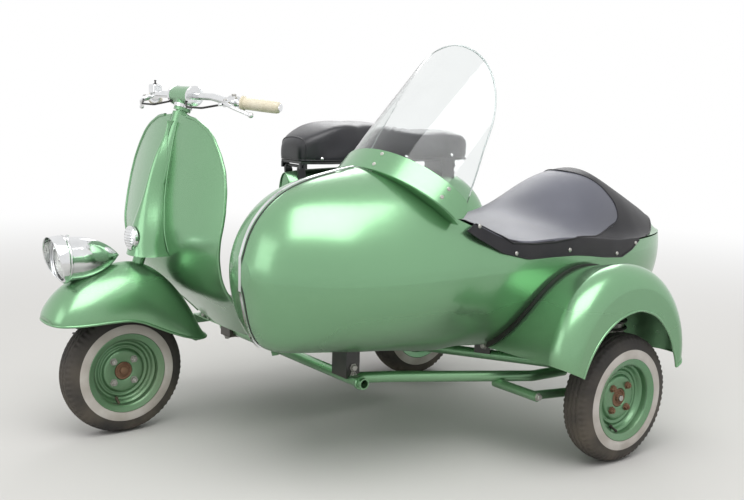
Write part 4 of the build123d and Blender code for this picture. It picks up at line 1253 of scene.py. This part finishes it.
def inside_seam(x, y):
    """Whether a point in plan lies inside the seam of the top panel."""
    inside = False
    for (ax, ay), (bx, by) in zip(seam_plan, seam_plan[1:] + seam_plan[:1]):
        if (ay > y) != (by > y) and x < (bx - ax) * (y - ay) / (by - ay) + ax:
            inside = not inside
    return inside


cover_faces = grid_faces(len(cover_columns), COVER_ROWS, flip=True)
# Top panel: a paler, bluish copy of the black cloth, painted sky reflection on the faces turned up; the
# hanging sides keep the cloth's own black.
painted_sky_vinyl = finish_material("cover_painted_sky_vinyl", (0.078, 0.081, 0.103, 1), (0.100, 0.104, 0.130, 1), 0.34, 5.0,
                            460.0,
                            0.0005, 0.1, 0.9, 0.12)
side_vinyl = finish_material("cover_side_vinyl", (0.010, 0.010, 0.013, 1), (0.020, 0.020, 0.024, 1), 0.36,
                             7.0, 460.0,
                             0.0005, 0.15, 0.9, 0.14)
tune(painted_sky_vinyl, Sheen_Weight=0.3, Sheen_Roughness=0.35)
tune(side_vinyl, Sheen_Weight=0.0, Sheen_Roughness=0.35, Specular_IOR_Level=0.25)
cover = piece("cockpit_cover", cover_verts, cover_faces, "chassis", [painted_sky_vinyl, side_vinyl])
work = bmesh.new()
work.from_mesh(cover.data)
bmesh.ops.remove_doubles(work, verts=work.verts, dist=0.0005)
for _ in range(3):
    bmesh.ops.smooth_vert(work, verts=[v for v in work.verts if not v.is_boundary], factor=0.5,
                          use_axis_x=True,
                          use_axis_y=True, use_axis_z=True)
bmesh.ops.recalc_face_normals(work, faces=work.faces)
work.to_mesh(cover.data)
work.free()
# Press stud: along, radius. Their places on one side: x and height
SNAP_ROWS = [(-1, 0), (-1, 6.2), (1, 6.2), (2.6, 4.6), (3.4, 2.4), (3.6, 0)]
SNAP_DIP = 0.8
RIPPLE = 0.5
snap_rows = [(508, 702), (389, 622), (168, 614), (-64, 583), (-176, 604)]
cloth_skin = skin_of(cover)
snaps, snap_places = [], []
for x, z in snap_rows:
    for hand in (1, -1):
        place = cloth_skin.ray_cast(at(x, TUB_Y + 500 * hand, z), Vector((0, -hand, 0)))[0]
        if place:
            snap_places.append(place)
            snaps.append((place, (0, hand, 0.1), SNAP_ROWS, 20))
for vert in cover.data.vertices:
    normal = vert.normal
    for place in snap_places:
        gap = (vert.co - place).length / MM
        if gap < 30:
            vert.co -= normal * (SNAP_DIP * MM * math.exp(-(gap / 9) ** 2))
    spot = (vert.co - SHIFT) / MM
    ripple = (math.sin(spot.x / 21) * math.sin(spot.y / 47 + spot.x / 90)
              + 0.6 * math.sin(spot.x / 58 + spot.y / 33))
    vert.co += normal * (RIPPLE * ripple * MM)
shell = cover.modifiers.new("thickness", "SOLIDIFY")
shell.thickness = SHEET_THICK * MM
shell.offset = -1.0
finer = cover.modifiers.new("finer", "SUBSURF")
finer.levels = finer.render_levels = 1
bake_modifiers(cover)
cover.data.polygons.foreach_set("use_smooth", [True] * len(cover.data.polygons))
# Faces on top inside the seam take the paler copy with the painted sky reflection; all others take the
# cloth's own black.
for patch_face in cover.data.polygons:
    spot = (patch_face.center - SHIFT) / MM
    lid = spot.z > edge_height(edge_rim, spot.x) - 1
    patch_face.material_index = 0 if lid and inside_seam(spot.x, spot.y - TUB_Y) else 1
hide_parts("tonneau_cover")
turned_set("cover_press_studs", snaps, "chassis", zinc)


def on_cover(x, y, lift=0.6):
    """Point just above the cloth at a place in plan."""
    place = cloth_skin.ray_cast(at(x, TUB_Y + y, 1300), Vector((0, 0, -1)))[0]
    return place + Vector((0, 0, lift * MM)) if place else None


rim_front = [(x, rim_reach(x) * 0.985) for x in (556, 525, 490, 450)]
seam_full = rim_front + seam_half[2:] + [(x, -y) for x, y in reversed(rim_front + seam_half[2:-1])]
seam_points = [on_cover(x, y) for x, y in resample(seam_full, 190)]
round_line("cover_seam_piping", [[p for p in seam_points if p]], 2.6, "chassis", side_vinyl)
hem_lines = []
for hand in (1, -1):
    spots = np.linspace(562, -198, 90).tolist()
    hem = [beside(cloth_skin, x, hand, edge_height(edge_hem, x) + 2.5) for x in spots]
    hem_lines.append([place for place in hem if place])
round_line("cover_hem_piping", hem_lines, 2.0, "chassis", side_vinyl)
front_hem = [cover_verts[c * COVER_ROWS + COVER_ROWS - 1].copy() for c in range(len(cover_columns))]
round_line("cover_front_hem", [front_hem], 2.0, "chassis", side_vinyl)
tail_hem = []
for share in np.linspace(0.97, -0.97, 60).tolist():
    x = rear_limit(share) + 2
    place = on_cover(x, share * rim_reach(x) * 0.98, 0.0)
    if place:
        tail_hem.append(place)
round_line("cover_tail_hem", [tail_hem], 2.2, "chassis", side_vinyl)
